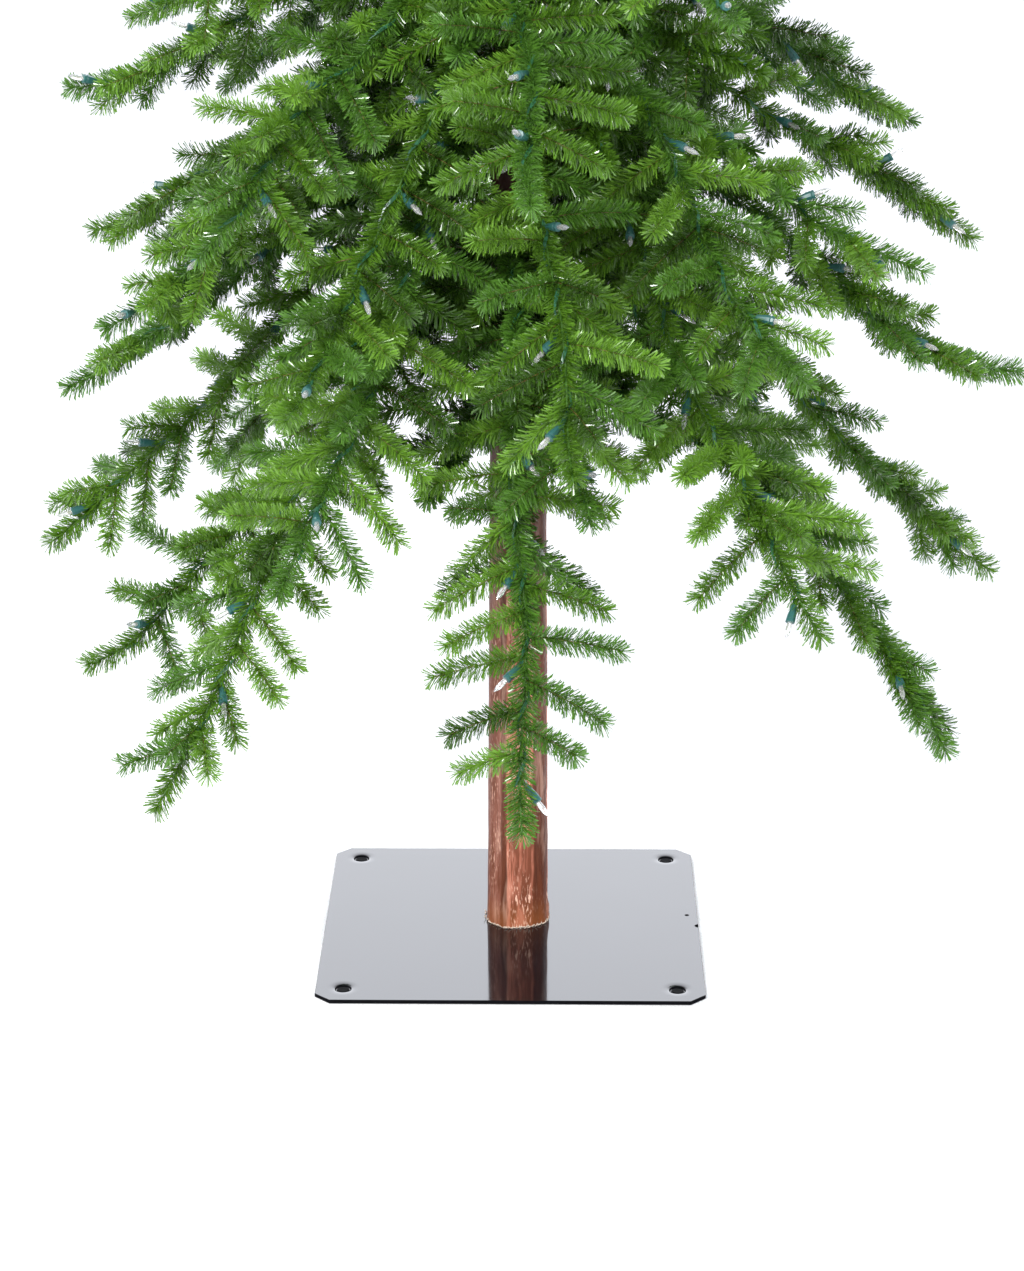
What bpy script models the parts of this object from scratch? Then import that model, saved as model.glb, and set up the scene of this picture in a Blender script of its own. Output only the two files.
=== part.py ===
"""A pre-lit artificial alpine Christmas tree: a bare cedar pole on a square steel
base plate, with drooping wire boughs that carry masses of green needle foliage.

Metres, +Z up. The origin is the centre of the plate's underside. Azimuths turn
anticlockwise from +X, seen from above, and the tree's front faces -Y.
"""

import math
import random

import bmesh
import bpy
import numpy as np
from mathutils import Vector

# Whole tree
TREE_HEIGHT = 1.83
GAP = 0.0003  # left between pieces that touch

# Base plate
PLATE_SIDE = 0.356
PLATE_THICKNESS = 0.004
PLATE_CORNER = 0.014  # leg of the cut corner
PLATE_EDGE = 0.0005  # softened arris
DIMPLE_INSET = 0.0254
DIMPLE_RADIUS = 0.0092
DIMPLE_FLOOR_RADIUS = 0.0062
DIMPLE_DEPTH = 0.0022

# Cedar pole, bolted a little to the right of the plate's centre and behind it
POLE_X = 0.005
POLE_Y = 0.010
POLE_FOOT_RADIUS = 0.0297
POLE_TOP_RADIUS = 0.019
POLE_FLARE = 0.0012  # extra radius of the rough cut at the foot
POLE_FLARE_HEIGHT = 0.03
POLE_TOP = 1.64
POLE_SIDES = 24

# Boughs: azimuth in degrees, height on the pole, reach from the pole's axis, height
# of the tip, how far the outer half is held up, and roll of the flat spray in degrees
LOW_BOUGHS = (
    (6, 0.720, 0.445, 0.340, 0.080, 30),
    (178, 0.720, 0.434, 0.374, 0.085, 25),
    (194, 0.790, 0.405, 0.552, 0.040, -20),
    (203, 0.620, 0.410, 0.316, 0.030, 20),
    (225, 0.700, 0.430, 0.236, 0.150, 0),
    (243, 0.800, 0.420, 0.450, 0.080, 15),
    (271, 0.700, 0.420, 0.262, 0.100, 0),
    (304, 0.790, 0.445, 0.415, 0.090, -5),
    (326, 0.560, 0.447, 0.270, 0.200, 0),
    (350, 0.790, 0.450, 0.563, 0.000, 20),
)
MIDDLE_BOUGHS = (
    (8, 0.870, 0.418, 0.653, 0.070, 30),
    (16, 0.960, 0.373, 0.754, 0.030, 0),
    (40, 1.010, 0.385, 0.745, 0.050, 10),
    (90, 0.970, 0.390, 0.720, 0.060, -10),
    (138, 1.000, 0.380, 0.760, 0.050, 15),
    (172, 0.880, 0.390, 0.660, 0.020, 0),
    (187, 0.960, 0.391, 0.806, 0.005, -40),
    (272, 0.945, 0.390, 0.770, 0.040, 0),
    (277, 0.860, 0.390, 0.550, 0.060, 0),
    (340, 0.830, 0.372, 0.662, 0.030, 0),
)

# Turns that more boughs fill, evenly spaced from one of the above to another: the
# azimuths of the two, anticlockwise, and the heights on the pole of those between them
LOW_FILLS = ((6, 178, (0.72, 0.68, 0.72)),)
MIDDLE_FILLS = ((16, 194, (0.92, 0.88, 0.84)), (172, 277, (0.925, 0.895)), (277, 340, (0.90,)))

# The upper crown climbs the pole in a spiral, and its boughs shorten to the top
UPPER_COUNT = 14
UPPER_AZIMUTH = 180
UPPER_TURN = 137.5
UPPER_HEIGHTS = (1.05, 1.60)
UPPER_REACHES = (0.350, 0.130)
UPPER_DROPS = (0.190, 0.065)
UPPER_LIFT = 0.020

BOUGH_DIP = 0.020  # how far a bough has dropped where its arch begins
ARCH_START = 0.3  # share of the reach
ARCH_END = 0.7
LINE_POINTS = 25  # points measured along each bough

# Bare part of a low bough
LIMB_LENGTH = 0.075
LIMB_RADIUS = 0.005
LIMB_END_RADIUS = 0.0038
LIMB_RINGS = 5
LIMB_SIDES = 8

# Foliage masses, as half sizes across the spray and through it
MASS_SIDES = 8
MASS_STATIONS = (0.0, 0.12, 0.3, 0.5, 0.7, 0.87, 1.0)
MASS_START = 0.013
MASS_HALF_WIDTH = 0.085
MASS_HALF_DEPTH = 0.034
UPPER_HALF_WIDTH = (0.115, 0.065)
UPPER_HALF_DEPTH = (0.046, 0.030)
MASS_OPENS_BY = 0.3  # share of its length where a mass reaches its full width
MASS_CLOSES_FROM = 0.7
MASS_TIP_SHARE = 0.45  # width of the last ring
MASS_NOSE = 0.022  # how far the point stands past the last ring
MASS_UNEVEN = 0.16
MASS_CLEARANCE = 0.008  # kept nearer to its own bough than to any other
MASS_POLE_CLEARANCE = 0.003
SHRINK_STEPS = 16

# Leader, the foliage round the tip of the pole
LEADER_STATIONS = (0.0, 0.15, 0.4, 0.7, 0.9)
LEADER_RADII = (0.019, 0.050, 0.042, 0.028, 0.016)

NEEDLE_GREEN = (0.10, 0.32, 0.05, 1.0)
CEDAR_BROWN = (0.36, 0.13, 0.07, 1.0)
TAPE_GREEN = (0.03, 0.10, 0.03, 1.0)
GLOSS_BLACK = (0.012, 0.012, 0.014, 1.0)


def blend(ends, share):
    return ends[0] + (ends[1] - ends[0]) * share


def smooth(share):
    share = min(max(share, 0.0), 1.0)
    return share * share * (3 - 2 * share)


def clear_scene():
    for obj in list(bpy.data.objects):
        bpy.data.objects.remove(obj, do_unlink=True)


def make_material(name, colour, roughness, metallic=0.0):
    material = bpy.data.materials.new(name)
    material.use_nodes = True
    shader = material.node_tree.nodes["Principled BSDF"]
    shader.inputs["Base Color"].default_value = colour
    shader.inputs["Roughness"].default_value = roughness
    shader.inputs["Metallic"].default_value = metallic
    material.diffuse_color = colour
    return material


def add_object(name, mesh_data, material, smooth_angle=None):
    """Makes a node of the bmesh, facing out, and frees the bmesh."""
    bmesh.ops.recalc_face_normals(mesh_data, faces=mesh_data.faces)
    mesh = bpy.data.meshes.new(name)
    mesh_data.to_mesh(mesh)
    mesh_data.free()
    mesh.materials.append(material)
    if smooth_angle is not None:
        mesh.shade_smooth()
        mesh.set_sharp_from_angle(angle=smooth_angle)
    obj = bpy.data.objects.new(name, mesh)
    bpy.context.scene.collection.objects.link(obj)
    return obj


def loft(rings, nose=None):
    """A closed skin through rings of points, with a flat or a pointed far end."""
    skin = bmesh.new()
    loops = [[skin.verts.new(point) for point in ring] for ring in rings]
    for near, far in zip(loops, loops[1:]):
        for i in range(len(near)):
            j = (i + 1) % len(near)
            skin.faces.new((near[i], near[j], far[j], far[i]))
    skin.faces.new(loops[0])
    if nose is None:
        skin.faces.new(loops[-1])
    else:
        point = skin.verts.new(nose)
        last = loops[-1]
        for i in range(len(last)):
            skin.faces.new((last[i], last[(i + 1) % len(last)], point))
    return skin


# Pole and plate


def pole_radius(height):
    """The pole's taper, with the slight flare of its rough foot."""
    share = (height - PLATE_THICKNESS) / (POLE_TOP - PLATE_THICKNESS)
    flare = POLE_FLARE * (1 - smooth((height - PLATE_THICKNESS) / POLE_FLARE_HEIGHT))
    return blend((POLE_FOOT_RADIUS, POLE_TOP_RADIUS), share) + flare


def make_pole(material):
    foot = PLATE_THICKNESS + GAP
    heights = [foot, foot + POLE_FLARE_HEIGHT / 2, foot + POLE_FLARE_HEIGHT]
    heights += [blend((heights[-1], POLE_TOP), step / 8) for step in range(1, 9)]
    rings = []
    for height in heights:
        radius = pole_radius(height)
        turns = [2 * math.pi * i / POLE_SIDES for i in range(POLE_SIDES)]
        ring = [(POLE_X + radius * math.cos(a), POLE_Y + radius * math.sin(a)) for a in turns]
        rings.append([(x, y, height) for x, y in ring])
    return add_object("trunk", loft(rings), material, math.radians(40))


def make_dimple_cutter(name, x, y):
    """A hidden cone frustum that presses one dimple into the plate."""
    over = 0.001  # how far the cutter stands above the plate
    slope = (DIMPLE_RADIUS - DIMPLE_FLOOR_RADIUS) / DIMPLE_DEPTH
    cone = bmesh.new()
    bmesh.ops.create_cone(
        cone,
        cap_ends=True,
        segments=16,
        radius1=DIMPLE_FLOOR_RADIUS,
        radius2=DIMPLE_RADIUS + slope * over,
        depth=DIMPLE_DEPTH + over,
    )
    middle = PLATE_THICKNESS + over - (DIMPLE_DEPTH + over) / 2
    bmesh.ops.translate(cone, verts=cone.verts, vec=(x, y, middle))
    bmesh.ops.recalc_face_normals(cone, faces=cone.faces)
    mesh = bpy.data.meshes.new(name)
    cone.to_mesh(mesh)
    cone.free()
    cutter = bpy.data.objects.new(name, mesh)
    bpy.context.scene.collection.objects.link(cutter)
    cutter.hide_render = True
    cutter.display_type = "WIRE"
    return cutter


def make_plate(material):
    plate = bmesh.new()
    bmesh.ops.create_cube(plate, size=1.0)
    bmesh.ops.scale(plate, verts=plate.verts, vec=(PLATE_SIDE, PLATE_SIDE, PLATE_THICKNESS))
    bmesh.ops.translate(plate, verts=plate.verts, vec=(0, 0, PLATE_THICKNESS / 2))
    upright = [e for e in plate.edges if abs(e.verts[0].co.z - e.verts[1].co.z) > GAP]
    bmesh.ops.bevel(plate, geom=upright, offset=PLATE_CORNER, segments=1, affect="EDGES")
    obj = add_object("base_plate", plate, material)
    softened = obj.modifiers.new("softened_edges", "BEVEL")
    softened.width = PLATE_EDGE
    softened.segments = 1
    softened.limit_method = "ANGLE"
    reach = PLATE_SIDE / 2 - DIMPLE_INSET
    corners = [(x, y) for x in (-reach, reach) for y in (-reach, reach)]
    for number, (x, y) in enumerate(corners, 1):
        cut = obj.modifiers.new(f"dimple_{number}", "BOOLEAN")
        cut.operation = "DIFFERENCE"
        cut.solver = "EXACT"
        cut.object = make_dimple_cutter(f"dimple_cutter_{number}", x, y)
    return obj


# Boughs


def with_fills(boughs, fills):
    """The boughs in order of azimuth, with those between them, which blend two of them."""
    rows = {row[0]: row for row in LOW_BOUGHS + MIDDLE_BOUGHS}
    boughs = list(boughs)
    for first, last, heights in fills:
        start = rows[first]
        end = (first + (last - first) % 360, *rows[last][1:])
        for number, height in enumerate(heights, 1):
            share = number / (len(heights) + 1)
            azimuth, _, *others = (blend(ends, share) for ends in zip(start, end))
            boughs.append((azimuth, height, *others))
    return sorted(boughs)


def upper_boughs():
    """The upper crown's boughs, from the longest and lowest to the shortest."""
    boughs = []
    for number in range(UPPER_COUNT):
        share = number / (UPPER_COUNT - 1)
        height = blend(UPPER_HEIGHTS, share)
        tip = height - blend(UPPER_DROPS, share)
        azimuth = (UPPER_AZIMUTH + UPPER_TURN * number) % 360
        boughs.append((azimuth, height, blend(UPPER_REACHES, share), tip, UPPER_LIFT, 0))
    return boughs


def bough_line(azimuth, height, reach, tip, lift, roll):
    """Points along a bough's stem: a cubic arch in the upright plane of its azimuth."""
    start = pole_radius(height) + GAP
    out = (start, blend((start, reach), ARCH_START), blend((start, reach), ARCH_END), reach)
    up = (height, height - BOUGH_DIP, tip + lift, tip)
    t = np.linspace(0, 1, LINE_POINTS)
    weights = ((1 - t) ** 3, 3 * t * (1 - t) ** 2, 3 * t * t * (1 - t), t**3)
    outward = sum(w * value for w, value in zip(weights, out))
    upward = sum(w * value for w, value in zip(weights, up))
    angle = math.radians(azimuth)
    x = POLE_X + outward * math.cos(angle)
    y = POLE_Y + outward * math.sin(angle)
    return np.stack([x, y, upward], axis=1)


def arc_lengths(line):
    steps = np.linalg.norm(np.diff(line, axis=0), axis=1)
    return np.concatenate([[0], np.cumsum(steps)])


def station(line, distance):
    """The point at this distance along a line, and the line's direction there."""
    lengths = arc_lengths(line)
    index = min(int(np.searchsorted(lengths, distance, side="right")), len(line) - 1) - 1
    share = (distance - lengths[index]) / (lengths[index + 1] - lengths[index])
    along = Vector(line[index + 1] - line[index]).normalized()
    return Vector(line[index] + share * (line[index + 1] - line[index])), along


def cross_axes(along, roll):
    """The directions across a spray and through it, turned by its roll."""
    across = along.cross(Vector((0, 0, 1))).normalized()
    through = across.cross(along)
    turn = math.radians(roll)
    rolled = across * math.cos(turn) + through * math.sin(turn)
    return rolled, rolled.cross(along)


def make_limb(name, line, azimuth, material):
    """The bare wire stem between the pole and the foliage, square to both."""
    rings = []
    for step in range(LIMB_RINGS):
        share = step / (LIMB_RINGS - 1)
        centre, along = station(line, share * (LIMB_LENGTH - GAP))
        if step == 0:
            angle = math.radians(azimuth)
            along = Vector((math.cos(angle), math.sin(angle), 0))
        across, through = cross_axes(along, 0)
        radius = blend((LIMB_RADIUS, LIMB_END_RADIUS), share)
        turns = [2 * math.pi * i / LIMB_SIDES for i in range(LIMB_SIDES)]
        rings.append(
            [centre + (across * math.cos(a) + through * math.sin(a)) * radius for a in turns]
        )
    return add_object(name, loft(rings), material, math.radians(50))


def segments_of(lines):
    """The start and the step of every segment of these polylines."""
    starts = np.concatenate([line[:-1] for line in lines])
    steps = np.concatenate([np.diff(line, axis=0) for line in lines])
    return starts, steps


def distance_to(point, segments):
    """How far a point is from the nearest of these segments."""
    starts, steps = segments
    offsets = np.array(point) - starts
    shares = (offsets * steps).sum(axis=1) / (steps * steps).sum(axis=1)
    nearest = np.clip(shares, 0, 1)[:, None] * steps
    return float(np.linalg.norm(offsets - nearest, axis=1).min())


def drawn_in(centre, corner, own, others):
    """Pulls a corner in towards its ring's centre until it clears the rest of the tree."""
    for step in range(SHRINK_STEPS):
        point = centre + (corner - centre) * (1 - step / SHRINK_STEPS)
        from_pole = math.hypot(point.x - POLE_X, point.y - POLE_Y)
        if from_pole < pole_radius(point.z) + MASS_POLE_CLEARANCE:
            continue
        if distance_to(point, others) > distance_to(point, own) + MASS_CLEARANCE:
            return point
    return centre + (corner - centre) / SHRINK_STEPS


def make_mass(name, bough, start, half_width, half_depth, line, others, material):
    """One uneven closed mass of needles round a bough's stem, from start to its tip."""
    azimuth, roll = bough[0], bough[5]
    chance = random.Random(name)
    own = segments_of([line])
    end = arc_lengths(line)[-1]
    rings = []
    for number, share in enumerate(MASS_STATIONS):
        centre, along = station(line, start + (end - MASS_NOSE - start) * share)
        if start == 0 and number == 0:
            angle = math.radians(azimuth)
            along = Vector((math.cos(angle), math.sin(angle), 0))
        across, through = cross_axes(along, roll)
        opening = smooth(share / MASS_OPENS_BY)
        closing = 1 - (1 - MASS_TIP_SHARE) * smooth(
            (share - MASS_CLOSES_FROM) / (1 - MASS_CLOSES_FROM)
        )
        wide = blend((MASS_START, half_width), opening) * closing
        deep = blend((MASS_START, half_depth), opening) * closing
        ring = []
        for i in range(MASS_SIDES):
            a = 2 * math.pi * (i + 0.5) / MASS_SIDES
            uneven = 1 + MASS_UNEVEN * chance.uniform(-1, 1)
            offset = (across * math.cos(a) * wide + through * math.sin(a) * deep) * uneven
            if number == 0:
                ring.append(centre + offset)
            else:
                ring.append(drawn_in(centre, centre + offset, own, others))
        rings.append(ring)
    nose, _ = station(line, end)
    return add_object(name, loft(rings, nose), material)


def make_leader(material):
    """The upright mass round the tip of the tree, standing on the pole's cut top."""
    chance = random.Random("leader")
    foot = POLE_TOP + GAP
    rings = []
    for share, radius in zip(LEADER_STATIONS, LEADER_RADII):
        height = foot + (TREE_HEIGHT - foot) * share
        ring = []
        for i in range(MASS_SIDES):
            a = 2 * math.pi * i / MASS_SIDES
            r = radius * (1 + MASS_UNEVEN * chance.uniform(-1, 1))
            ring.append((POLE_X + r * math.cos(a), POLE_Y + r * math.sin(a), height))
        rings.append(ring)
    tip = (POLE_X, POLE_Y, TREE_HEIGHT)
    return add_object("leader_foliage", loft(rings, tip), material)


def main():
    clear_scene()
    needles = make_material("needles", NEEDLE_GREEN, 0.45)
    cedar = make_material("cedar", CEDAR_BROWN, 0.75)
    tape = make_material("taped_wire", TAPE_GREEN, 0.5)
    enamel = make_material("gloss_enamel", GLOSS_BLACK, 0.08)
    make_plate(enamel)
    make_pole(cedar)

    tiers = {
        "low_foliage": with_fills(LOW_BOUGHS, LOW_FILLS),
        "middle_foliage": with_fills(MIDDLE_BOUGHS, MIDDLE_FILLS),
        "upper_foliage": upper_boughs(),
    }
    boughs = {
        f"{tier}_{number}": bough
        for tier, members in tiers.items()
        for number, bough in enumerate(members, 1)
    }
    lines = {name: bough_line(*bough) for name, bough in boughs.items()}
    for name, bough in boughs.items():
        others = segments_of([line for other, line in lines.items() if other != name])
        start, half_width, half_depth = 0.0, MASS_HALF_WIDTH, MASS_HALF_DEPTH
        if name.startswith("low"):
            start = LIMB_LENGTH
            limb = name.replace("foliage", "bough")
            make_limb(limb, lines[name], bough[0], tape)
        elif name.startswith("upper"):
            share = (bough[1] - UPPER_HEIGHTS[0]) / (UPPER_HEIGHTS[1] - UPPER_HEIGHTS[0])
            half_width = blend(UPPER_HALF_WIDTH, share)
            half_depth = blend(UPPER_HALF_DEPTH, share)
        make_mass(name, bough, start, half_width, half_depth, lines[name], others, needles)
    make_leader(needles)


main()
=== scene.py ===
"""A pre-lit artificial alpine Christmas tree, with the looks of its real materials.

Cut PVC needle brushes on wire boughs, a stripped cedar pole, a gloss-enamelled steel
plate and strings of clear mini lamps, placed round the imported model's own frame.
Metres, +Z up. Azimuths turn anticlockwise from +X, and the front faces -Y.
"""

import functools
import math
import random
from dataclasses import dataclass, field

import bmesh
import bpy
import numpy as np
from bpy.props import FloatProperty, FloatVectorProperty, IntProperty, PointerProperty
from mathutils import Matrix, Vector, noise


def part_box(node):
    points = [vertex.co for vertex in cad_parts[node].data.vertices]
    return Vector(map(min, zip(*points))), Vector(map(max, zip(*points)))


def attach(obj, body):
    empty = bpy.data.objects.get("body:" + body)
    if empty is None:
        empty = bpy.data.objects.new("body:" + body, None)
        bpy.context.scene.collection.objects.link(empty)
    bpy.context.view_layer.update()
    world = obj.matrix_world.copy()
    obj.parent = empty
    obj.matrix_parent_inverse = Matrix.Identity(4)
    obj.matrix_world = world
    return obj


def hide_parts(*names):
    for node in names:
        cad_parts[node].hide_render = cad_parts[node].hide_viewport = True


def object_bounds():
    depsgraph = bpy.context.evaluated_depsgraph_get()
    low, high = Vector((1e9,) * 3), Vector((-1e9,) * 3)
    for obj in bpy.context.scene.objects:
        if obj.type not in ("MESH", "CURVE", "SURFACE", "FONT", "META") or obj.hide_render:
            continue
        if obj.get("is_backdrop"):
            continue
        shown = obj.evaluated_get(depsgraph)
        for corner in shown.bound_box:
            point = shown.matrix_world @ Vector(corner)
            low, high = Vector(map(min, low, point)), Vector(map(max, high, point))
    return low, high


bl_info = {
    "name": "Alpine Christmas tree",
    "version": (1, 0, 0),
    "blender": (4, 5, 0),
    "location": "View3D > Sidebar > Tree",
    "description": "Builds a pre-lit artificial alpine tree piece by piece",
    "category": "Add Mesh",
}

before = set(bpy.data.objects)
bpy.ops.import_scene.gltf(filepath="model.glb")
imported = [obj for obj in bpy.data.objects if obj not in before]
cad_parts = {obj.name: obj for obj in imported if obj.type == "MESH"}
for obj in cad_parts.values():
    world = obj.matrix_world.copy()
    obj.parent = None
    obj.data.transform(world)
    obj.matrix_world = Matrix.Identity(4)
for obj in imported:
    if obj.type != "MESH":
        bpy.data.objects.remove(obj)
CAD_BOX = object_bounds()
NODES = sorted(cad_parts)
PLATE_LOW, PLATE_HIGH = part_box("base_plate")
TRUNK_LOW, TRUNK_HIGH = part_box("trunk")
TREE_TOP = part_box("leader_foliage")[1][2]
MM = 0.001
UP = np.array([0.0, 0.0, 1.0])
NEARLY_UPRIGHT = 0.9  # the rise of a unit direction that is too steep to cross with UP

# Plate and pole
PLATE_SIDE = PLATE_HIGH[0] - PLATE_LOW[0]
PLATE_TOP = PLATE_HIGH[2]
PLATE_CORNER = 14 * MM
PLATE_ARRIS = 0.6 * MM
PLATE_CREASE = math.radians(30)
DIMPLE_INSET = 25.4 * MM
POLE_X = (TRUNK_LOW[0] + TRUNK_HIGH[0]) / 2
POLE_Y = (TRUNK_LOW[1] + TRUNK_HIGH[1]) / 2
POLE_TOP = TRUNK_HIGH[2]
POLE_FOOT_RADIUS = 0.0297
POLE_TOP_RADIUS = 0.019
POLE_FLARE = 0.0005
POLE_FLARE_HEIGHT = 0.03

# Boughs: azimuth in degrees, height on the pole, reach from the pole's axis, height
# of the tip, how far the outer half is held up, roll of the flat spray in degrees, and
# how far the outer twigs are opened out, where 0 is folded along the stem
LOW_BOUGHS = (
    (6, 0.720, 0.445, 0.340, 0.080, 30, 0.4),
    (178, 0.720, 0.434, 0.374, 0.085, 25, 0.8),
    (194, 0.790, 0.405, 0.552, 0.040, -20, 1.0),
    (203, 0.620, 0.410, 0.316, 0.030, 20, 1.0),
    (225, 0.700, 0.430, 0.236, 0.150, 0, 0.8),
    (243, 0.800, 0.420, 0.450, 0.080, 15, 1.0),
    (271, 0.700, 0.420, 0.262, 0.100, 0, 1.0),
    (304, 0.790, 0.445, 0.415, 0.090, -5, 1.3),
    (326, 0.560, 0.447, 0.270, 0.200, 0, 0.35),
    (350, 0.790, 0.450, 0.563, 0.000, 20, 0.6),
)
MIDDLE_BOUGHS = (
    (8, 0.870, 0.418, 0.653, 0.070, 30, 0.3),
    (16, 0.960, 0.373, 0.754, 0.030, 0, 0.6),
    (40, 1.010, 0.385, 0.745, 0.050, 10, 1.0),
    (90, 0.970, 0.390, 0.720, 0.060, -10, 1.0),
    (138, 1.000, 0.380, 0.760, 0.050, 15, 1.0),
    (172, 0.880, 0.390, 0.660, 0.020, 0, 0.5),
    (187, 0.960, 0.391, 0.806, 0.005, -40, 0.5),
    (272, 0.945, 0.390, 0.770, 0.040, 0, 1.0),
    (277, 0.860, 0.390, 0.550, 0.060, 0, 1.0),
    (340, 0.830, 0.372, 0.662, 0.030, 0, 0.8),
)

# Turns that more boughs fill, evenly spaced from one of the above to another: the
# azimuths of the two, anticlockwise, and the heights on the pole of those between them
LOW_FILLS = ((6, 178, (0.72, 0.68, 0.72)),)
MIDDLE_FILLS = ((16, 194, (0.92, 0.88, 0.84)), (172, 277, (0.925, 0.895)), (277, 340, (0.90,)))

# Boughs that share a mass with one of the above
SHARING_BOUGHS = (
    (311, 0.700, 0.385, 0.450, 0.070, 0, 1.0),
    (283, 0.660, 0.280, 0.480, 0.050, 0, 0.9),
    (265, 0.620, 0.160, 0.530, 0.040, 0, 0.7),
    (224, 0.950, 0.360, 0.700, 0.080, 10, 1.0),
    (272, 0.600, 0.290, 0.400, 0.060, 0, 1.2),
)

# Short boughs that fill the crown round the pole
INNER_COUNT = 60
INNER_AZIMUTH = 250
INNER_HEIGHTS = (0.57, 1.625)
INNER_REACH = 0.22
INNER_TAPER = 0.26  # of reach lost with each metre above INNER_TAPER_HEIGHT
INNER_TAPER_HEIGHT = 1.12
INNER_DROP = 0.40  # for each metre of reach
INNER_LIFT = 0.02

# The upper crown climbs the pole in a spiral of pairs, which shorten to the top
UPPER_COUNT = 14
UPPER_AZIMUTH = 180
UPPER_TURN = 137.5  # the golden angle, at which the leaves of a shoot miss each other
UPPER_HEIGHTS = (1.05, 1.60)
UPPER_REACHES = (0.350, 0.130)
UPPER_DROPS = (0.190, 0.065)
UPPER_LIFT = 0.020
UPPER_ROLL = 12
PAIR_ANGLE = 17  # degrees that each bough of a pair stands to its side
PAIR_HEIGHT = 0.014
PAIR_REACH = 0.03  # share by which their reaches differ from the mean
SHORTEST_TWIGS = 0.62  # on boughs of no reach, as a share of a full twig

SEED = 23  # another whole number gives another tree of the same kind
BOUGH_DIP = 0.020
ARCH_START = 0.3
ARCH_END = 0.7
LINE_POINTS = 25
WAVER = 0.006  # how far a hand-bent wire strays from its arch
WAVER_TURNS = (1.2, 2.2)

# Twigs. A zone is where it starts and how long it is, as shares of the stem
BARE_LENGTH = {"low": 0.030, "middle": 0.015, "upper": 0.010}
FIRST_TWIG = {"low": 0.050, "middle": 0.035, "upper": 0.014}
TIP_LENGTH = 0.058  # of the stem beyond its last twig
TWIG_POINTS = 4
TWIG_LEANS = (84, 63)  # degrees from the stem, at its start and at its tip
TWIG_FORWARD = 0.12  # how far a twig's outer half turns along the stem
TWIG_SAG = 0.08  # and downwards
TWIG_BARE = 0.002
LEAN_SPREAD = 6
TURN_SPREAD = 18
LENGTH_SPREAD = (0.88, 1.12)
SPACING_SPREAD = (0.8, 1.2)
FOLD_ZONE = (0.3, 0.5)
FOLDED_SIZE = 0.6  # of the twigs of a bough that is folded along its stem
OPENING_ZONE = (0.0, 0.25)
OPENING_SIZE = 0.6  # of the first twig
CLOSING_ZONE = (0.7, 0.3)
CLOSING_LOSS = 0.30  # share of its length that the last twig lacks
TOP_SHARE = 0.18  # share of the twigs with another that stands up from the spray
TOP_LEAN = 0.75  # radians
TOP_SPREAD = 0.6  # radians
TOP_SIZE = 0.72

# The leader: the upright tip of the tree
LEADER_POINTS = 9
LEADER_SINK = 0.004  # into the pole's cut top
LEADER_OFFSET = 0.002  # of its tip from the pole's axis
LEADER_SHORT = 0.012  # below the tree's top, which the needles reach
LEADER_TWIGS = 9
LEADER_SPAN = (0.06, 0.62)  # where its first twig stands, and over how much the others do
LEADER_LEANS = (62, 38)  # degrees that its twigs lean out, from first to last
LEADER_SPREAD = 4
LEADER_SIZES = (0.72, 0.42)
FOOT_TWIGS = 7  # that lie out from the leader's foot, over the pole's cut top
FOOT_HEIGHTS = (0.006, 0.016)
FOOT_LEANS = (70, 84)
COLLAR_TWIGS = 12  # that rise from the pole's sides just below its top
COLLAR_DEPTH = 0.045
COLLAR_LEANS = (40, 78)
COLLAR_SIZES = (0.5, 0.65)

# Needles
NEEDLE_SEED = 11
NEEDLE_LEAN = 60
NEEDLE_TIP_LEAN = 38
NEEDLE_SCATTER = 6
NEEDLE_SPREAD = 0.07  # share by which their lengths vary
NEEDLE_TIP_ZONE = 0.008  # length of brush over which needles close to a point
NEEDLE_TIP_CURVE = 0.7
NEEDLE_TIP_LOSS = 0.20  # share of its length that the last needle lacks
NEEDLE_SAG = 0.05
BLUNT_SHARE = 0.5  # share of needles cut off square, where the others are cut to a point
STEM_FILL = 1.2  # how close the needles stand on a stem, against its twigs
STEM_NEEDLE = 1.04  # their length, against a twig's
TIER_NEEDLES = {"low": 1.06, "middle": 1.04, "upper": 0.95}  # their length in each tier
TIER_FILL = {"low": 1.22, "middle": 1.06, "upper": 0.85}  # how close they stand
INNER_FILL = 0.50  # how close the needles stand on the inner boughs
INNER_WIDTH = 1.6  # their width, against an outer needle's
INNER_NEEDLE = 1.15  # their length
SHADES = ("light", "mid", "cool", "deep")
STEM_SHADES = ("mid", "cool")
# Shares of the shades in each tier. The inner boughs take mostly the deep shade: a painted shade for
# the dim inside of the crown
SHADE_SHARES = {
    "low": (0.38, 0.28, 0.24, 0.10),
    "middle": (0.36, 0.28, 0.22, 0.14),
    "upper": (0.32, 0.26, 0.24, 0.18),
    "inner": (0.00, 0.15, 0.15, 0.70),
}

# Stem and twig wires
STEM_RADII = {"low": (2.3, 0.8), "middle": (2.0, 0.8), "upper": (1.7, 0.7)}  # mm
STEM_SIDES = 5
STEM_STEP = 0.008
TAPE_PITCH = 0.007
TAPE_RIDGE = 0.10
TWIG_RADIUS = 0.55 * MM
TWIG_TAPER = (1.0, 0.5)
WIRE_SIDES = 3

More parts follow.
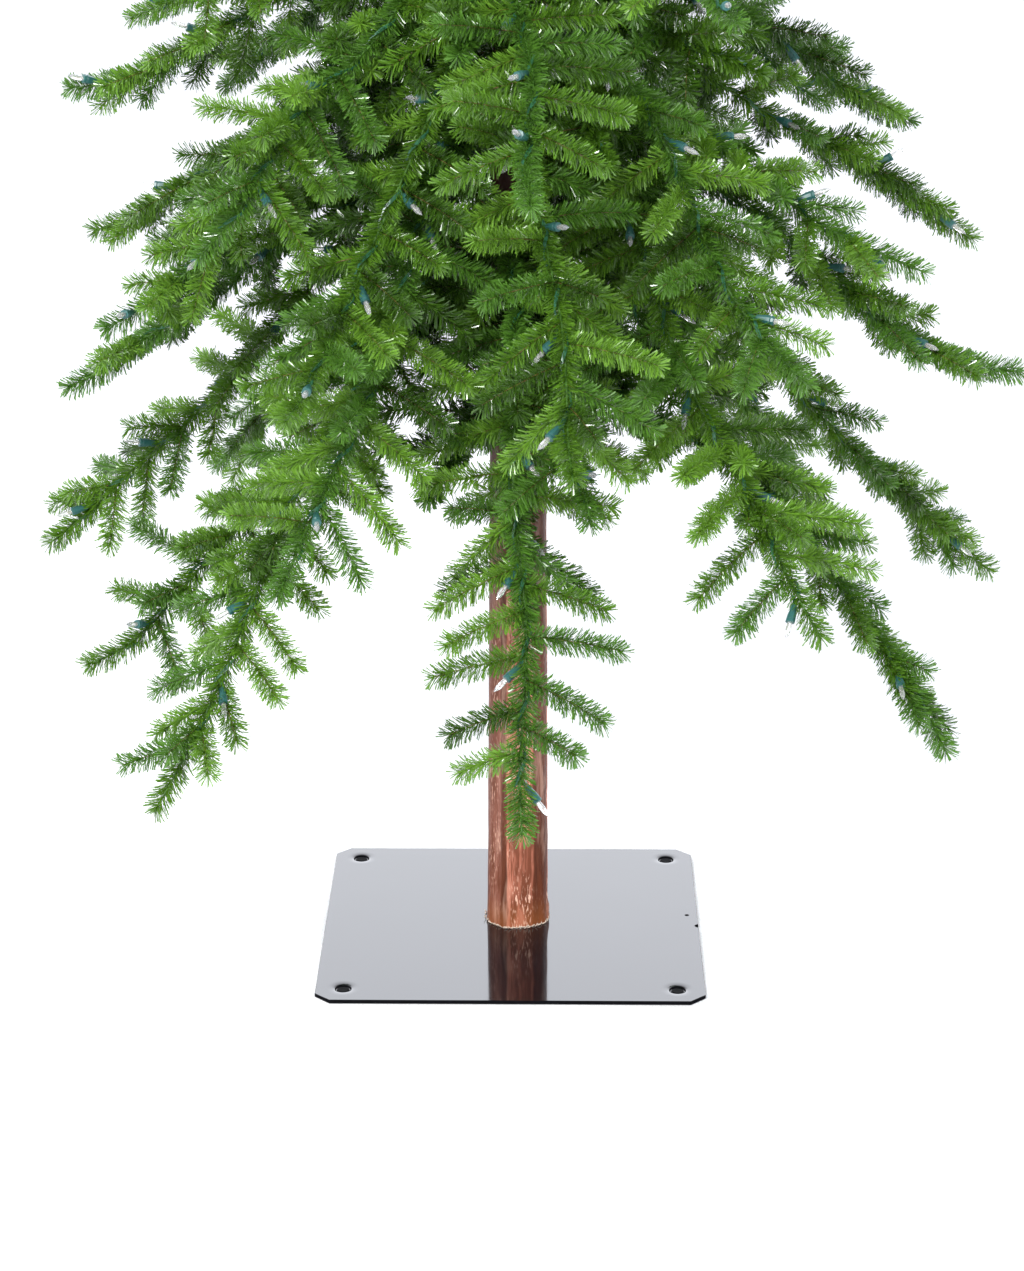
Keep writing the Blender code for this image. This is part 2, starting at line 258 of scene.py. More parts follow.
# Lamps. Profiles are radius and height in millimetres
STRAND_RADIUS = 0.75 * MM
STRAND_GAP = 2.2 * MM  # between a stem and the strands that wind loosely round it
STRAND_PITCH = 0.055
STRAND_STEP = 0.011
STRAND_SHIFT = 0.45  # radians between the two wires of a pair
STRAND_PHASES = (0, 6)
STRAND_START = 0.004
STRAND_END = 0.93  # share of the stem where the strands end
STRAND_RUN_STEP = 0.01
LAMP_FIRST = (0.5, 1.0)  # of a spacing, from the pole
LAMP_END = 0.95  # share of the stem where the lamps end
LAMP_TURN = 2.2  # radians that a lamp turns from the top of its bough, at most
LAMP_FORWARD = (0.5, 1.5)  # how far it points along the bough
LAMP_SIDES = 8
LAMP_CREASE = math.radians(40)
SOCKET_OUT = 6 * MM  # from a stem to the foot of a socket
SOCKET_PROFILE = (
    (0, 0), (2.2, 0), (2.6, 0.8), (2.9, 5.0), (3.7, 8.6), (4.0, 12.2), (3.5, 12.7),
    (4.0, 13.2), (4.0, 15.4), (2.6, 15.7), (0, 15.7),
)
BULB_IN_SOCKET = 14.8 * MM
BULB_PROFILE = (
    (0, 0), (2.0, 0), (2.2, 3.0), (2.45, 6.0), (2.4, 9.5), (1.8, 12.0), (0.8, 14.0),
    (0.35, 15.4), (0, 15.6),
)
FILAMENT_LOOP = ((0.9, 0, 0.6), (0.8, 0.2, 6.0), (0, 0, 7.6), (-0.8, -0.2, 6.0), (-0.9, 0, 0.6))
FILAMENT_RADIUS = 0.16 * MM
# A lead leaves its socket's foot beside the other, bends back and out, and ends back along
# the bough and above its stem, in millimetres
LEAD_FOOT = 0.9
LEAD_BEND = (5, 1.6)
LEAD_END = (9, 3.5)
LEAD_POINTS = 5
LEAD_SIDES = 4
LEAD_RADIUS = STRAND_RADIUS * 0.9
POLE_RUN_PITCH = 0.22
POLE_RUN_STEP = 0.008
POLE_RUN_SHIFT = 0.06
POLE_RUN_GAP = 1.1 * MM

# Studio and camera
FLOOR_REACH = 200
FLOOR_GAP = 0.3 * MM  # between the plate and the floor
LIGHT_AIM = (0, 0, 0.6)
# Name, place, side of the square in metres, watts, and whether gloss mirrors it. The fill
# isn't mirrored, so that the plate mirrors the plain studio
LIGHTS = (
    ("key", (-1.5, -2.9, 2.9), 0.9, 185, True),
    ("fill", (2.4, -2.4, 1.8), 1.6, 45, False),
)
# Greys of the studio by height, where 0 is level and 1 is straight up
SKY_GREYS = ((0.0, 0.42), (0.18, 1.2), (0.45, 1.25), (0.62, 0.90), (0.85, 0.30))
SKY_FRONT = {"From Min": -0.2, "From Max": 0.7, "To Min": 0.33}  # the front is darker
SKY_COLOUR = (0.91, 0.935, 1.0, 1.0)
SKY_STRENGTH = 3.1
CAMERA_AZIMUTH = -0.6
CAMERA_DISTANCE = 2.802
CAMERA_HEIGHT = 1.2507
CAMERA_PITCH = 18.88
CAMERA_LENS = 90.3
SENSOR_WIDTH = 36


def linear(hex_colour):
    """An sRGB hex value as linear red, green and blue."""
    channels = [int(hex_colour[i : i + 2], 16) / 255 for i in (1, 3, 5)]
    return tuple(c / 12.92 if c <= 0.04045 else ((c + 0.055) / 1.055) ** 2.4 for c in channels)


def blend(ends, share):
    """What lies at a share of the way from one end to the other."""
    return ends[0] + (ends[1] - ends[0]) * share


def smooth(value, start=0.0, width=1.0):
    """Eases from 0 to 1 over a width from a start."""
    share = min(max((value - start) / width, 0.0), 1.0)
    return share * share * (3 - 2 * share)


def unit(vectors):
    """The vectors at a length of one."""
    return vectors / np.linalg.norm(vectors, axis=-1, keepdims=True)


# The user's settings


def length_setting(name, description, default):
    return FloatProperty(name=name, description=description, default=default, min=0.0, unit="LENGTH")


def colour_setting(name, description, hex_colour):
    look = {"default": linear(hex_colour), "size": 3, "min": 0.0, "max": 1.0, "subtype": "COLOR"}
    return FloatVectorProperty(name=name, description=description, **look)


class TreeSizes(bpy.types.PropertyGroup):
    """Sizes that change how full the tree is."""

    needle_length: length_setting("Needle length", "Length of a cut PVC needle", 0.0138)
    needle_width: length_setting("Needle width", "Width of a cut PVC needle", 0.00122)
    needles_per_metre: IntProperty(
        name="Needles per metre", description="Needles along each metre of brush", default=6900, min=100
    )
    twig_length: length_setting("Twig length", "Length of a full twig", 0.080)
    twig_spacing: length_setting("Twig spacing", "Space between twigs on one side", 0.041)
    lamp_spacing: length_setting("Lamp spacing", "Space between lamps on a bough", 0.092)


class TreeColours(bpy.types.PropertyGroup):
    """Colours of the tree's materials."""

    needle_light: colour_setting("Light needles", "Fresh yellowish green film", "#628c2a")
    needle_mid: colour_setting("Mid needles", "Mid green film", "#50781e")
    needle_cool: colour_setting("Cool needles", "Slightly bluer green film", "#4b7525")
    # Deeper green film, and a painted shade where the inner boughs take it
    needle_deep: colour_setting("Deep needles", "Deeper green film", "#395a17")
    twist: colour_setting("Twig wire", "Brown lacquer on the twigs' wires", "#6a5029")
    tape: colour_setting("Tape", "Green tape on the boughs", "#4f7d2a")
    cedar: colour_setting("Cedar", "Stained cedar", "#a0624e")
    # Dark cedar for the grooves and the stain, also a painted shade: the dark flats and the crown's
    # shadow
    cedar_dark: colour_setting("Cedar grooves and shade", "Cedar in the grooves", "#66341f")
    # A painted highlight: the pale patches and the glints on the pole
    cedar_pale: colour_setting("Cedar highlights", "Painted pale highlights", "#ebbca4")
    cedar_resin: colour_setting("Resin", "Orange resin near the foot", "#9a5a2e")
    raw_wood: colour_setting("Raw wood", "Torn wood at the foot", "#dcc8b6")
    enamel: colour_setting("Enamel", "Gloss black enamel", "#09090d")
    rubber: colour_setting("Rubber", "Black rubber plugs", "#09090b")
    lamp_wire: colour_setting("Lamp wire", "Dark green insulation", "#2c5f43")
    socket: colour_setting("Socket", "Blue-green sockets", "#2b5a56")
    floor: colour_setting("Floor", "Studio floor", "#f2f2f2")


# Materials


def add_node(tree, kind, inputs=None, stops=(), **settings):
    """Adds a node with its settings and a ramp's stops. An input is set to its value, or is
    linked to the socket given or to the first output of the node given."""
    node = tree.nodes.new(kind)
    for key, value in settings.items():
        setattr(node, key, value)
    for key, value in (inputs or {}).items():
        if isinstance(value, bpy.types.Node):
            value = value.outputs[0]
        if isinstance(value, bpy.types.NodeSocket):
            tree.links.new(value, node.inputs[key])
        else:
            node.inputs[key].default_value = value
    for number, (position, colour) in enumerate(stops):
        elements = node.color_ramp.elements
        element = elements[number] if number < len(elements) else elements.new(position)
        element.position = position
        element.color = (*colour, 1.0)
    return node


def new_material(name):
    """An empty material, its node tree and the place on the object that its patterns follow."""
    material = bpy.data.materials.new(name)
    material.use_nodes = True
    tree = material.node_tree
    tree.nodes.clear()
    return material, tree, add_node(tree, "ShaderNodeTexCoord").outputs["Object"]


def finish_material(material, inputs):
    """Ends a material in one Principled shader with these inputs."""
    shader = add_node(material.node_tree, "ShaderNodeBsdfPrincipled", inputs)
    add_node(material.node_tree, "ShaderNodeOutputMaterial", {"Surface": shader})
    return material


def add_noises(tree, rows):
    """Noises by name, from rows of a name, the place they follow, their grain and detail."""
    return {
        name: add_node(
            tree, "ShaderNodeTexNoise", {"Vector": place, "Scale": 1 / grain, "Detail": detail}
        )
        for name, place, grain, detail in rows
    }


def mottled_material(name, shades, finish, bump=None, *, grain, detail=2.0):
    """A finish that one noise mottles between two shades, at two levels of the noise. The same
    noise lifts the surface where a bump is given, as its strength and height. Without shades
    the finish keeps its own colour."""
    material, tree, place = new_material(name)
    mottle = add_noises(tree, [("mottle", place, grain, detail)])["mottle"]
    inputs = dict(finish)
    if shades:
        inputs["Base Color"] = add_node(tree, "ShaderNodeValToRGB", {"Fac": mottle}, shades)
    if bump:
        lift = {"Strength": bump[0], "Distance": bump[1], "Height": mottle}
        inputs["Normal"] = add_node(tree, "ShaderNodeBump", lift)
    return finish_material(material, inputs)


def rgba(colour, strength=1.0):
    """A colour made stronger or weaker, with its alpha."""
    return (*(min(channel * strength, 1.0) for channel in colour), 1.0)


def tint(colour, strength):
    return rgba(colour, strength)[:3]


def needle_material(shade, colour):
    """Cut PVC film. Slit and fanned by machine, so it is even in colour, and it glints where
    a strip turns its flat to the light."""
    material, tree, place = new_material(f"pvc_film_{shade}")
    scuff = add_noises(tree, [("scuff", place, 4 * MM, 1.0)])["scuff"]
    dull = add_node(tree, "ShaderNodeMapRange", {"Value": scuff, "To Min": 0.14, "To Max": 0.34})
    film = {"Base Color": rgba(colour), "Roughness": dull, "IOR": 1.53, "Specular IOR Level": 0.5}
    return finish_material(material, film)


def tape_material(colour):
    """PVC tape wrapped on steel wire. The wraps overlap and dull a little, so the dark green
    is mottled and only softly glossy."""
    shades = ((0.35, tint(colour, 0.55)), (0.7, colour))
    finish = {"Roughness": 0.5, "IOR": 1.5}
    bump = (0.4, 0.3 * MM)
    return mottled_material("wrapped_pvc_tape", shades, finish, bump, grain=6 * MM, detail=3.0)


def twist_material(colour):
    """Soft steel wire with brown lacquer, twisted in a machine, which scrapes the lacquer and
    leaves it in light and dark streaks."""
    shades = ((0.35, tint(colour, 0.7)), (0.65, tint(colour, 1.2)))
    finish = {"Roughness": 0.42, "IOR": 1.5}
    return mottled_material("lacquered_twisted_wire", shades, finish, grain=2 * MM)


def cedar_material(colours):
    """Cedar stripped by drawknife, stained and varnished. Each pull of the knife leaves a flat with a
    crisp edge, whose tone is partly the wood's own and partly painted light and shade. Pale patches
    are a painted highlight, short pale dabs on the lighter flats a painted glint, the wood is painted
    darker higher up as the shadow of the crown, and the sawn foot shows a thread of pale wood."""
    material, tree, place = new_material("stripped_cedar")
    rows = []
    for name, stretch, grain, detail in (  # stretched along the pole, to this share
        ("fibre", 0.05, 1.4 * MM, 4.0),
        ("dab", 0.26, 1.6 * MM, 3.5),
        ("stain", 0.16, 11 * MM, 3.0),
        ("patch", 0.40, 20 * MM, 2.0),
    ):
        along = add_node(tree, "ShaderNodeMapping", {"Vector": place, "Scale": (1, 1, stretch)})
        rows.append((name, along, grain, detail))
    noises = add_noises(tree, rows)
    axis = {"Vector": place, "Location": (-POLE_X, -POLE_Y, 0)}
    centred = add_node(tree, "ShaderNodeMapping", axis)
    turn = add_node(tree, "ShaderNodeTexGradient", {"Vector": centred}, gradient_type="RADIAL")
    wander = {0: noises["patch"], 1: FLAT_WANDER, 2: turn.outputs["Fac"]}
    wandering = add_node(tree, "ShaderNodeMath", wander, operation="MULTIPLY_ADD")
    # Flats of light, medium and dark wood: partly the wood's own tone, partly painted light and shade
    flats = add_node(tree, "ShaderNodeValToRGB", {"Fac": wandering}, knife_flats(colours))
    height = add_node(tree, "ShaderNodeSeparateXYZ", {"Vector": place}).outputs["Z"]
    rag = {0: noises["dab"], 1: -FOOT_RAG, 2: height}
    ragged = add_node(tree, "ShaderNodeMath", rag, operation="MULTIPLY_ADD")
    darkest, palest = (sum(tint(c, 1.0)) / 3 for c in (colours.cedar_dark, colours.cedar))
    shares = {}
    for name, value, *ends in (
        ("mottle", noises["stain"], 0.48, 0.60, 0.0, 0.85),
        # Pale patches where the stain noise is low: a painted highlight
        ("pale_highlight", noises["stain"], 0.46, 0.30, 0.0, 0.40),
        ("groove", noises["fibre"], 0.47, 0.37, 0.0, 0.75),
        # Short pale dabs, in patches and on the lighter flats: a painted glint
        ("glint_dab", noises["dab"], 0.53, 0.66, 0.0, 1.0),
        ("glint_patch", noises["patch"], 0.42, 0.58, 0.0, 1.0),
        ("on_light", flats, darkest, palest, 0.1, 1.0),
        # Darker higher up: a painted shadow of the crown
        ("crown_shadow", height, 0.22, 0.48, 0.0, 0.95),
        ("resin", ragged, 30 * MM, 8 * MM, 0.0, 0.40),
        ("sawn", ragged, 2.4 * MM, 1.6 * MM, 0.0, 1.0),
        ("varnish", noises["dab"], 0.3, 0.7, 0.55, 0.34),
    ):
        limits = dict(zip(("From Min", "From Max", "To Min", "To Max"), ends))
        shares[name] = add_node(tree, "ShaderNodeMapRange", {"Value": value, **limits})
    # The painted glint: dabs, times their patches, times the lighter flats
    both = {0: shares["glint_patch"], 1: shares["on_light"]}
    both = {0: shares["glint_dab"], 1: add_node(tree, "ShaderNodeMath", both, operation="MULTIPLY")}
    shares["glint"] = add_node(tree, "ShaderNodeMath", both, operation="MULTIPLY")
    colour = flats.outputs["Color"]
    for name, layer in (
        ("mottle", rgba(colours.cedar_dark)),
        # The pale patches: a painted highlight
        ("pale_highlight", rgba(colours.cedar_pale)),
        ("groove", rgba(colours.cedar_dark)),
        ("glint", rgba(colours.cedar_pale)),
        ("resin", rgba(colours.cedar_resin)),
        ("sawn", rgba(colours.raw_wood)),
        # The painted shadow of the crown
        ("crown_shadow", rgba(colours.cedar_dark, 0.38)),
    ):
        layers = {0: shares[name], 6: colour, 7: layer}
        colour = add_node(tree, "ShaderNodeMix", layers, data_type="RGBA").outputs[2]
    lift = {"Strength": 0.9, "Distance": 0.8 * MM, "Height": noises["dab"]}
    finish = {"Base Color": colour, "Roughness": shares["varnish"], "IOR": 1.5}
    finish |= {"Specular IOR Level": 0.25, "Normal": add_node(tree, "ShaderNodeBump", lift)}
    return finish_material(material, finish)


def knife_flats(colours):
    """Ramp stops, as shares of a turn, for flats of light, medium and dark wood with crisp edges.
    Their tones are partly the wood's own and partly painted light and shade.
    """
    tones = {
        "light": tint(colours.cedar, 1.32),
        "medium": tint(colours.cedar, 0.66),
        "dark": tint(colours.cedar_dark, 0.62),
    }
    stops = [(0.0, tones["light"]), (1.0, tones["light"])]
    for number, (azimuth, name) in enumerate(KNIFE_FLATS):
        before = KNIFE_FLATS[number - 1][1]
        edge = ((azimuth - 180) % 360) / 360
        stops += [(edge, tones[before]), (edge + KNIFE_EDGE, tones[name])]
    return stops


def enamel_material(colour):
    """Baked gloss enamel on rolled sheet steel. The film flows out to a mirror over sheet that
    is not quite flat, so reflections are sharp and bend a little."""
    material, tree, place = new_material("gloss_enamel")
    wiped = add_node(tree, "ShaderNodeMapping", {"Vector": place, "Scale": (0.35, 1, 1)})
    rolled, dusted = ("roll", place, 90 * MM, 1.0), ("dust", place, 30 * MM, 4.0)
    noises = add_noises(tree, (rolled, dusted, ("smear", wiped, 26 * MM, 3.0)))
    shades = ((0.35, colour), (0.70, tint(colour, 1.6)))
    film = add_node(tree, "ShaderNodeValToRGB", {"Fac": noises["smear"]}, shades)
    dusty = {"Value": noises["dust"], "To Min": 0.04, "To Max": 0.09}
    haze = add_node(tree, "ShaderNodeMapRange", dusty)
    lift = {"Strength": 0.15, "Distance": 0.5 * MM, "Height": noises["roll"]}
    bump = add_node(tree, "ShaderNodeBump", lift)
    finish = {"Base Color": film, "Roughness": haze, "IOR": 1.65, "Normal": bump}
    return finish_material(material, finish)


def sheared_edge_material(colour):
    """The same enamel where it runs thin over the sheared rim: it dries rough, so the rim
    stays a matte near-black beside the mirror of the top. The burr is drawn coarse, to show."""
    shades = ((0.3, tint(colour, 0.4)), (0.7, tint(colour, 1.2)))
    finish = {"Roughness": 0.75, "IOR": 1.5, "Specular IOR Level": 0.05}
    return mottled_material("sheared_edge", shades, finish, grain=3 * MM)


def grained_material(name, colour, roughness, grain, shine=0.5):
    """A body of one colour, whose fine grain breaks up the highlight. The grain of a mould or
    a paper is finer than shows, so it is drawn coarser."""
    shades = ((0.3, tint(colour, 0.85)), (0.7, tint(colour, 1.1)))
    finish = {"Roughness": roughness, "IOR": 1.5, "Specular IOR Level": shine}
    return mottled_material(name, shades, finish, bump=(0.15, 0.05 * MM), grain=grain)


def bulb_material():
    """Blown soda glass, which is clear. A fifth of the body is white and diffuse, a painted
    reflection of the bright studio, so it shows as a pale body with bright edges and a glint."""
    # The white base colour under a transmission of 0.8 is a painted reflection
    finish = {"Base Color": rgba((1, 1, 1)), "Roughness": 0.02, "IOR": 1.5, "Transmission Weight": 0.8}
    bump = (0.1, 0.2 * MM)
    return mottled_material("blown_clear_glass", (), finish, bump, grain=3 * MM, detail=1.0)


def filament_material():
    """Drawn tungsten on copper-plated posts: bare bright wire with a slight streak, which is
    drawn coarser than a die leaves it, to show."""
    shades = ((0.3, linear("#9a8468")), (0.7, linear("#d8c8b0")))
    finish = {"Metallic": 1.0, "Roughness": 0.35}
    return mottled_material("drawn_filament_wire", shades, finish, grain=MM)


# Meshes from arrays


class Gather:
    """Collects blocks of points and faces, and makes one mesh of them."""

    def __init__(self):
        self.points = []
        self.faces = []
        self.count = 0

    def add(self, points, *faces):
        """Faces are integer arrays, one row for each face, that index these points."""
        self.points.append(np.asarray(points, np.float32).reshape(-1, 3))
        self.faces += [np.asarray(block, np.int64) + self.count for block in faces]
        self.count += len(self.points[-1])

    def piece(self, name, material, smooth_shading=True):
        """The gathered mesh as an object that rides on the tree's one body."""
        mesh = bpy.data.meshes.new(name)
        points = np.concatenate(self.points)
        loops = np.concatenate([block.ravel() for block in self.faces])
        sizes = np.concatenate([np.full(len(block), block.shape[1]) for block in self.faces])
        starts = np.concatenate([[0], np.cumsum(sizes)[:-1]])
        mesh.vertices.add(len(points))
        mesh.vertices.foreach_set("co", points.ravel())
        mesh.loops.add(len(loops))
        mesh.loops.foreach_set("vertex_index", loops.astype(np.int32))
        mesh.polygons.add(len(sizes))
        mesh.polygons.foreach_set("loop_start", starts.astype(np.int32))
        mesh.polygons.foreach_set("use_smooth", np.full(len(sizes), smooth_shading))
        mesh.update(calc_edges=True)
        mesh.validate()
        return as_piece(name, mesh, material)


def as_piece(name, mesh, material):
    """Links a mesh as an object that rides on the tree's one body."""
    mesh.materials.append(material)
    obj = bpy.data.objects.new(name, mesh)
    bpy.context.scene.collection.objects.link(obj)
    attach(obj, "root")
    return obj


def upright_axis(directions):
    """An axis for each direction that isn't along it: up, or +X where it points up."""
    steep = np.abs(directions[..., 2:3]) > NEARLY_UPRIGHT
    return np.where(steep, [1.0, 0.0, 0.0], UP)


def line_axes(line):
    """Two steady unit normals of a polyline, square to each other, one row for each point."""
    tangents = unit(np.gradient(line, axis=0))
    normals = np.empty_like(tangents)
    normal = np.cross(tangents[0], upright_axis(tangents[0]))
    for i, tangent in enumerate(tangents):
        normal = normal - tangent * normal.dot(tangent)
        normal = normal / np.linalg.norm(normal)
        normals[i] = normal
    return normals, np.cross(tangents, normals)


def ring_angles(sides):
    return 2 * math.pi * np.arange(sides) / sides


def ring_quads(rings, sides):
    """Faces between rings of points, and the number of each point in a ring and of the next."""
    i = np.arange(rings - 1)[:, None] * sides
    j = np.arange(sides)[None]
    k = (j + 1) % sides
    quads = np.stack([i + j, i + k, i + sides + k, i + sides + j], axis=-1)
    return quads.reshape(-1, 4), j[0], k[0]


def add_rings(gather, rings):
    """A closed skin round rings of points, an array of rings x sides x 3."""
    count, sides = rings.shape[:2]
    quads, around, _ = ring_quads(count, sides)
    caps = np.array([around[::-1], (count - 1) * sides + around])
    gather.add(rings, quads, caps)


def add_tube(gather, line, radii, sides):
    """A closed tube along a polyline: one radius, or one for each point, or for its sides too."""
    normals, sideways = line_axes(line)
    radii = np.asarray(radii, float)
    if radii.ndim < 2:
        radii = np.broadcast_to(radii.reshape(-1, 1), (len(line), sides))
    angles = ring_angles(sides)
    out = normals[:, None] * (np.cos(angles) * radii)[..., None]
    add_rings(gather, line[:, None] + out + sideways[:, None] * (np.sin(angles) * radii)[..., None])


def add_lathe(gather, profile, place, sides):
    """A turned body: profile is (radius, height) pairs from pole to pole, in millimetres."""
    middle = [
        [(r * math.cos(a), r * math.sin(a), z) for a in ring_angles(sides)] for r, z in profile[1:-1]
    ]
    ends = [(0, 0, profile[0][1]), (0, 0, profile[-1][1])]
    points = np.concatenate([np.array(middle).reshape(-1, 3), np.array(ends)]) * MM
    place = np.array(place)
    quads, j, k = ring_quads(len(middle), sides)
    first = len(middle) * sides
    start = first - sides
    bottom = np.stack([np.full(sides, first), k, j], axis=-1)
    top = np.stack([start + j, start + k, np.full(sides, first + 1)], axis=-1)
    gather.add(points @ place[:3, :3].T + place[:3, 3], quads, bottom, top)


# How the tree grows


@dataclass
class Bough:
    """One bough's stem and its twigs, as polylines."""

    name: str
    tier: str
    stem: np.ndarray
    roll: float
    spread: float
    twigs: list = field(default_factory=list)


def pole_radius(height):
    """The pole's taper, with the slight flare of its rough foot."""
    share = (height - PLATE_TOP) / (POLE_TOP - PLATE_TOP)
    flare = POLE_FLARE * (1 - smooth(height, PLATE_TOP, POLE_FLARE_HEIGHT))
    return blend((POLE_FOOT_RADIUS, POLE_TOP_RADIUS), share) + flare


def with_fills(boughs, fills):
    """The boughs in order of azimuth, with those between them, which blend two of them."""
    rows = {row[0]: row for row in LOW_BOUGHS + MIDDLE_BOUGHS}
    boughs = list(boughs)
    for first, last, heights in fills:
        start = rows[first]
        end = (first + (last - first) % 360, *rows[last][1:])
        for number, height in enumerate(heights, 1):
            share = number / (len(heights) + 1)
            azimuth, _, *others = (blend(ends, share) for ends in zip(start, end))
            boughs.append((azimuth, height, *others))
    return sorted(boughs)


def upper_pairs():
    """The upper crown's boughs, two for each of its masses."""
    boughs = {}
    for number in range(UPPER_COUNT):
        share = number / (UPPER_COUNT - 1)
        height = blend(UPPER_HEIGHTS, share)
        tip = height - blend(UPPER_DROPS, share)
        azimuth = UPPER_AZIMUTH + UPPER_TURN * number
        reach = blend(UPPER_REACHES, share)
        for side, letter in ((-1, "a"), (1, "b")):
            boughs[f"upper_{number + 1}{letter}"] = (
                (azimuth + side * PAIR_ANGLE) % 360,
                height + side * PAIR_HEIGHT,
                reach * (1 - PAIR_REACH * side),
                tip + side * PAIR_HEIGHT,
                UPPER_LIFT,
                UPPER_ROLL * side,
                1.0,
            )
    return boughs


def inner_boughs():
    """The short boughs that fill the crown round the pole."""
    boughs = {}
    for number in range(INNER_COUNT):
        height = blend(INNER_HEIGHTS, number / (INNER_COUNT - 1))
        azimuth = (INNER_AZIMUTH + UPPER_TURN * number) % 360
        reach = INNER_REACH - INNER_TAPER * max(height - INNER_TAPER_HEIGHT, 0)
        tip = height - INNER_DROP * reach
        boughs[f"inner_{number + 1}"] = (azimuth, height, reach, tip, INNER_LIFT, 0, 1.0)
    return boughs


def round_pole(radii, angles, heights):
    """Points at these distances and angles from the pole's axis."""
    return np.stack([POLE_X + radii * np.cos(angles), POLE_Y + radii * np.sin(angles), heights], -1)


def bough_line(azimuth, height, reach, tip, lift):
    """Points along a bough's stem: a cubic arch in the upright plane of its azimuth."""
    start = pole_radius(height) - MM
    out = (start, blend((start, reach), ARCH_START), blend((start, reach), ARCH_END), reach)
    up = (height, height - BOUGH_DIP, tip + lift, tip)
    t = np.linspace(0, 1, LINE_POINTS)
    weights = ((1 - t) ** 3, 3 * t * (1 - t) ** 2, 3 * t * t * (1 - t), t**3)
    outward, upward = (sum(w * value for w, value in zip(weights, ends)) for ends in (out, up))
    return round_pole(outward, math.radians(azimuth), upward)


def bent_line(start, middle, end, count):
    """Points along a curve from start to end that is drawn towards the middle."""
    t = np.linspace(0, 1, count)[:, None]
    return (1 - t) ** 2 * start + 2 * t * (1 - t) * middle + t * t * end


def wavered(line, chance):
    """The line with the slight bends of a wire shaped by hand, and both ends in place."""
    share = np.linspace(0, 1, len(line))
    for axes in line_axes(line):
        turns, phase = chance.uniform(*WAVER_TURNS), chance.uniform(0, 2 * math.pi)
        wave = np.sin(2 * math.pi * turns * share + phase) * np.sin(math.pi * share)
        line = line + axes * (WAVER * wave)[:, None]
    return line


def arc_lengths(line):
    """How far along a polyline each of its points lies."""
    return np.concatenate([[0], np.cumsum(np.linalg.norm(np.diff(line, axis=0), axis=1))])


def along_line(line, distances):
    """Points and unit directions at these distances along a polyline."""
    lengths = arc_lengths(line)
    index = np.clip(np.searchsorted(lengths, distances, side="right") - 1, 0, len(line) - 2)
    steps = np.diff(line, axis=0)
    share = (distances - lengths[index]) / (lengths[index + 1] - lengths[index])
    return line[index] + steps[index] * share[:, None], unit(steps)[index]


def on_line(line, distance):
    """The point at a distance along a polyline, its direction, and the level and the upward
    direction square to it."""
    point, along = (rows[0] for rows in along_line(line, np.array([distance])))
    across = unit(np.cross(along, UP))
    return point, along, across, np.cross(across, along)


def part_of_line(line, start, end, step):
    """The stretch of a polyline from start to end, with a point about every step."""
    count = max(3, int(round((end - start) / step)) + 1)
    return along_line(line, np.linspace(start, end, count))[0]


def curved_twig(base, direction, stem_direction, reach):
    """A twig that leaves the stem in one direction, bends forward along it and sags a little."""
    later = unit(direction + TWIG_FORWARD * stem_direction + np.array([0, 0, -TWIG_SAG]))
    middle = base + direction * reach / 2
    return bent_line(base, middle, middle + later * reach / 2, TWIG_POINTS)


def leaning(along, outward, lean):
    """The direction that leans outward by an angle from along."""
    return along * math.cos(lean) + outward * math.sin(lean)


def grow_twigs(bough, chance, length, spacing):
    """Twigs that alternate down both sides of the stem and shorten towards its tip."""
    total = arc_lengths(bough.stem)[-1]
    distance = FIRST_TWIG[bough.tier]
    side = chance.choice((-1, 1))
    roll = math.radians(bough.roll)
    while distance < total - TIP_LENGTH:
        share = distance / total
        base, along, across, through = on_line(bough.stem, distance)
        folded = blend((1, min(bough.spread, 1)), smooth(share, *FOLD_ZONE))
        lean = blend(TWIG_LEANS, share * share) * folded
        lean = math.radians(lean + chance.gauss(0, LEAN_SPREAD))
        turn = roll + math.radians(chance.gauss(0, TURN_SPREAD))
        outward = (across * math.cos(turn) + through * math.sin(turn)) * side
        opening = blend((OPENING_SIZE, 1), smooth(share, *OPENING_ZONE))
        closing = 1 - CLOSING_LOSS * smooth(share, *CLOSING_ZONE)
        reach = length * opening * closing * chance.uniform(*LENGTH_SPREAD)
        reach *= blend((FOLDED_SIZE, 1), bough.spread)
        bough.twigs.append(curved_twig(base, leaning(along, outward, lean), along, reach))
        if chance.random() < TOP_SHARE:
            upward = through * math.cos(turn) + across * math.sin(chance.gauss(0, TOP_SPREAD))
            raised = unit(leaning(along, upward, TOP_LEAN))
            bough.twigs.append(curved_twig(base, raised, along, reach * TOP_SIZE))
        side = -side
        distance += spacing / 2 * chance.uniform(*SPACING_SPREAD)


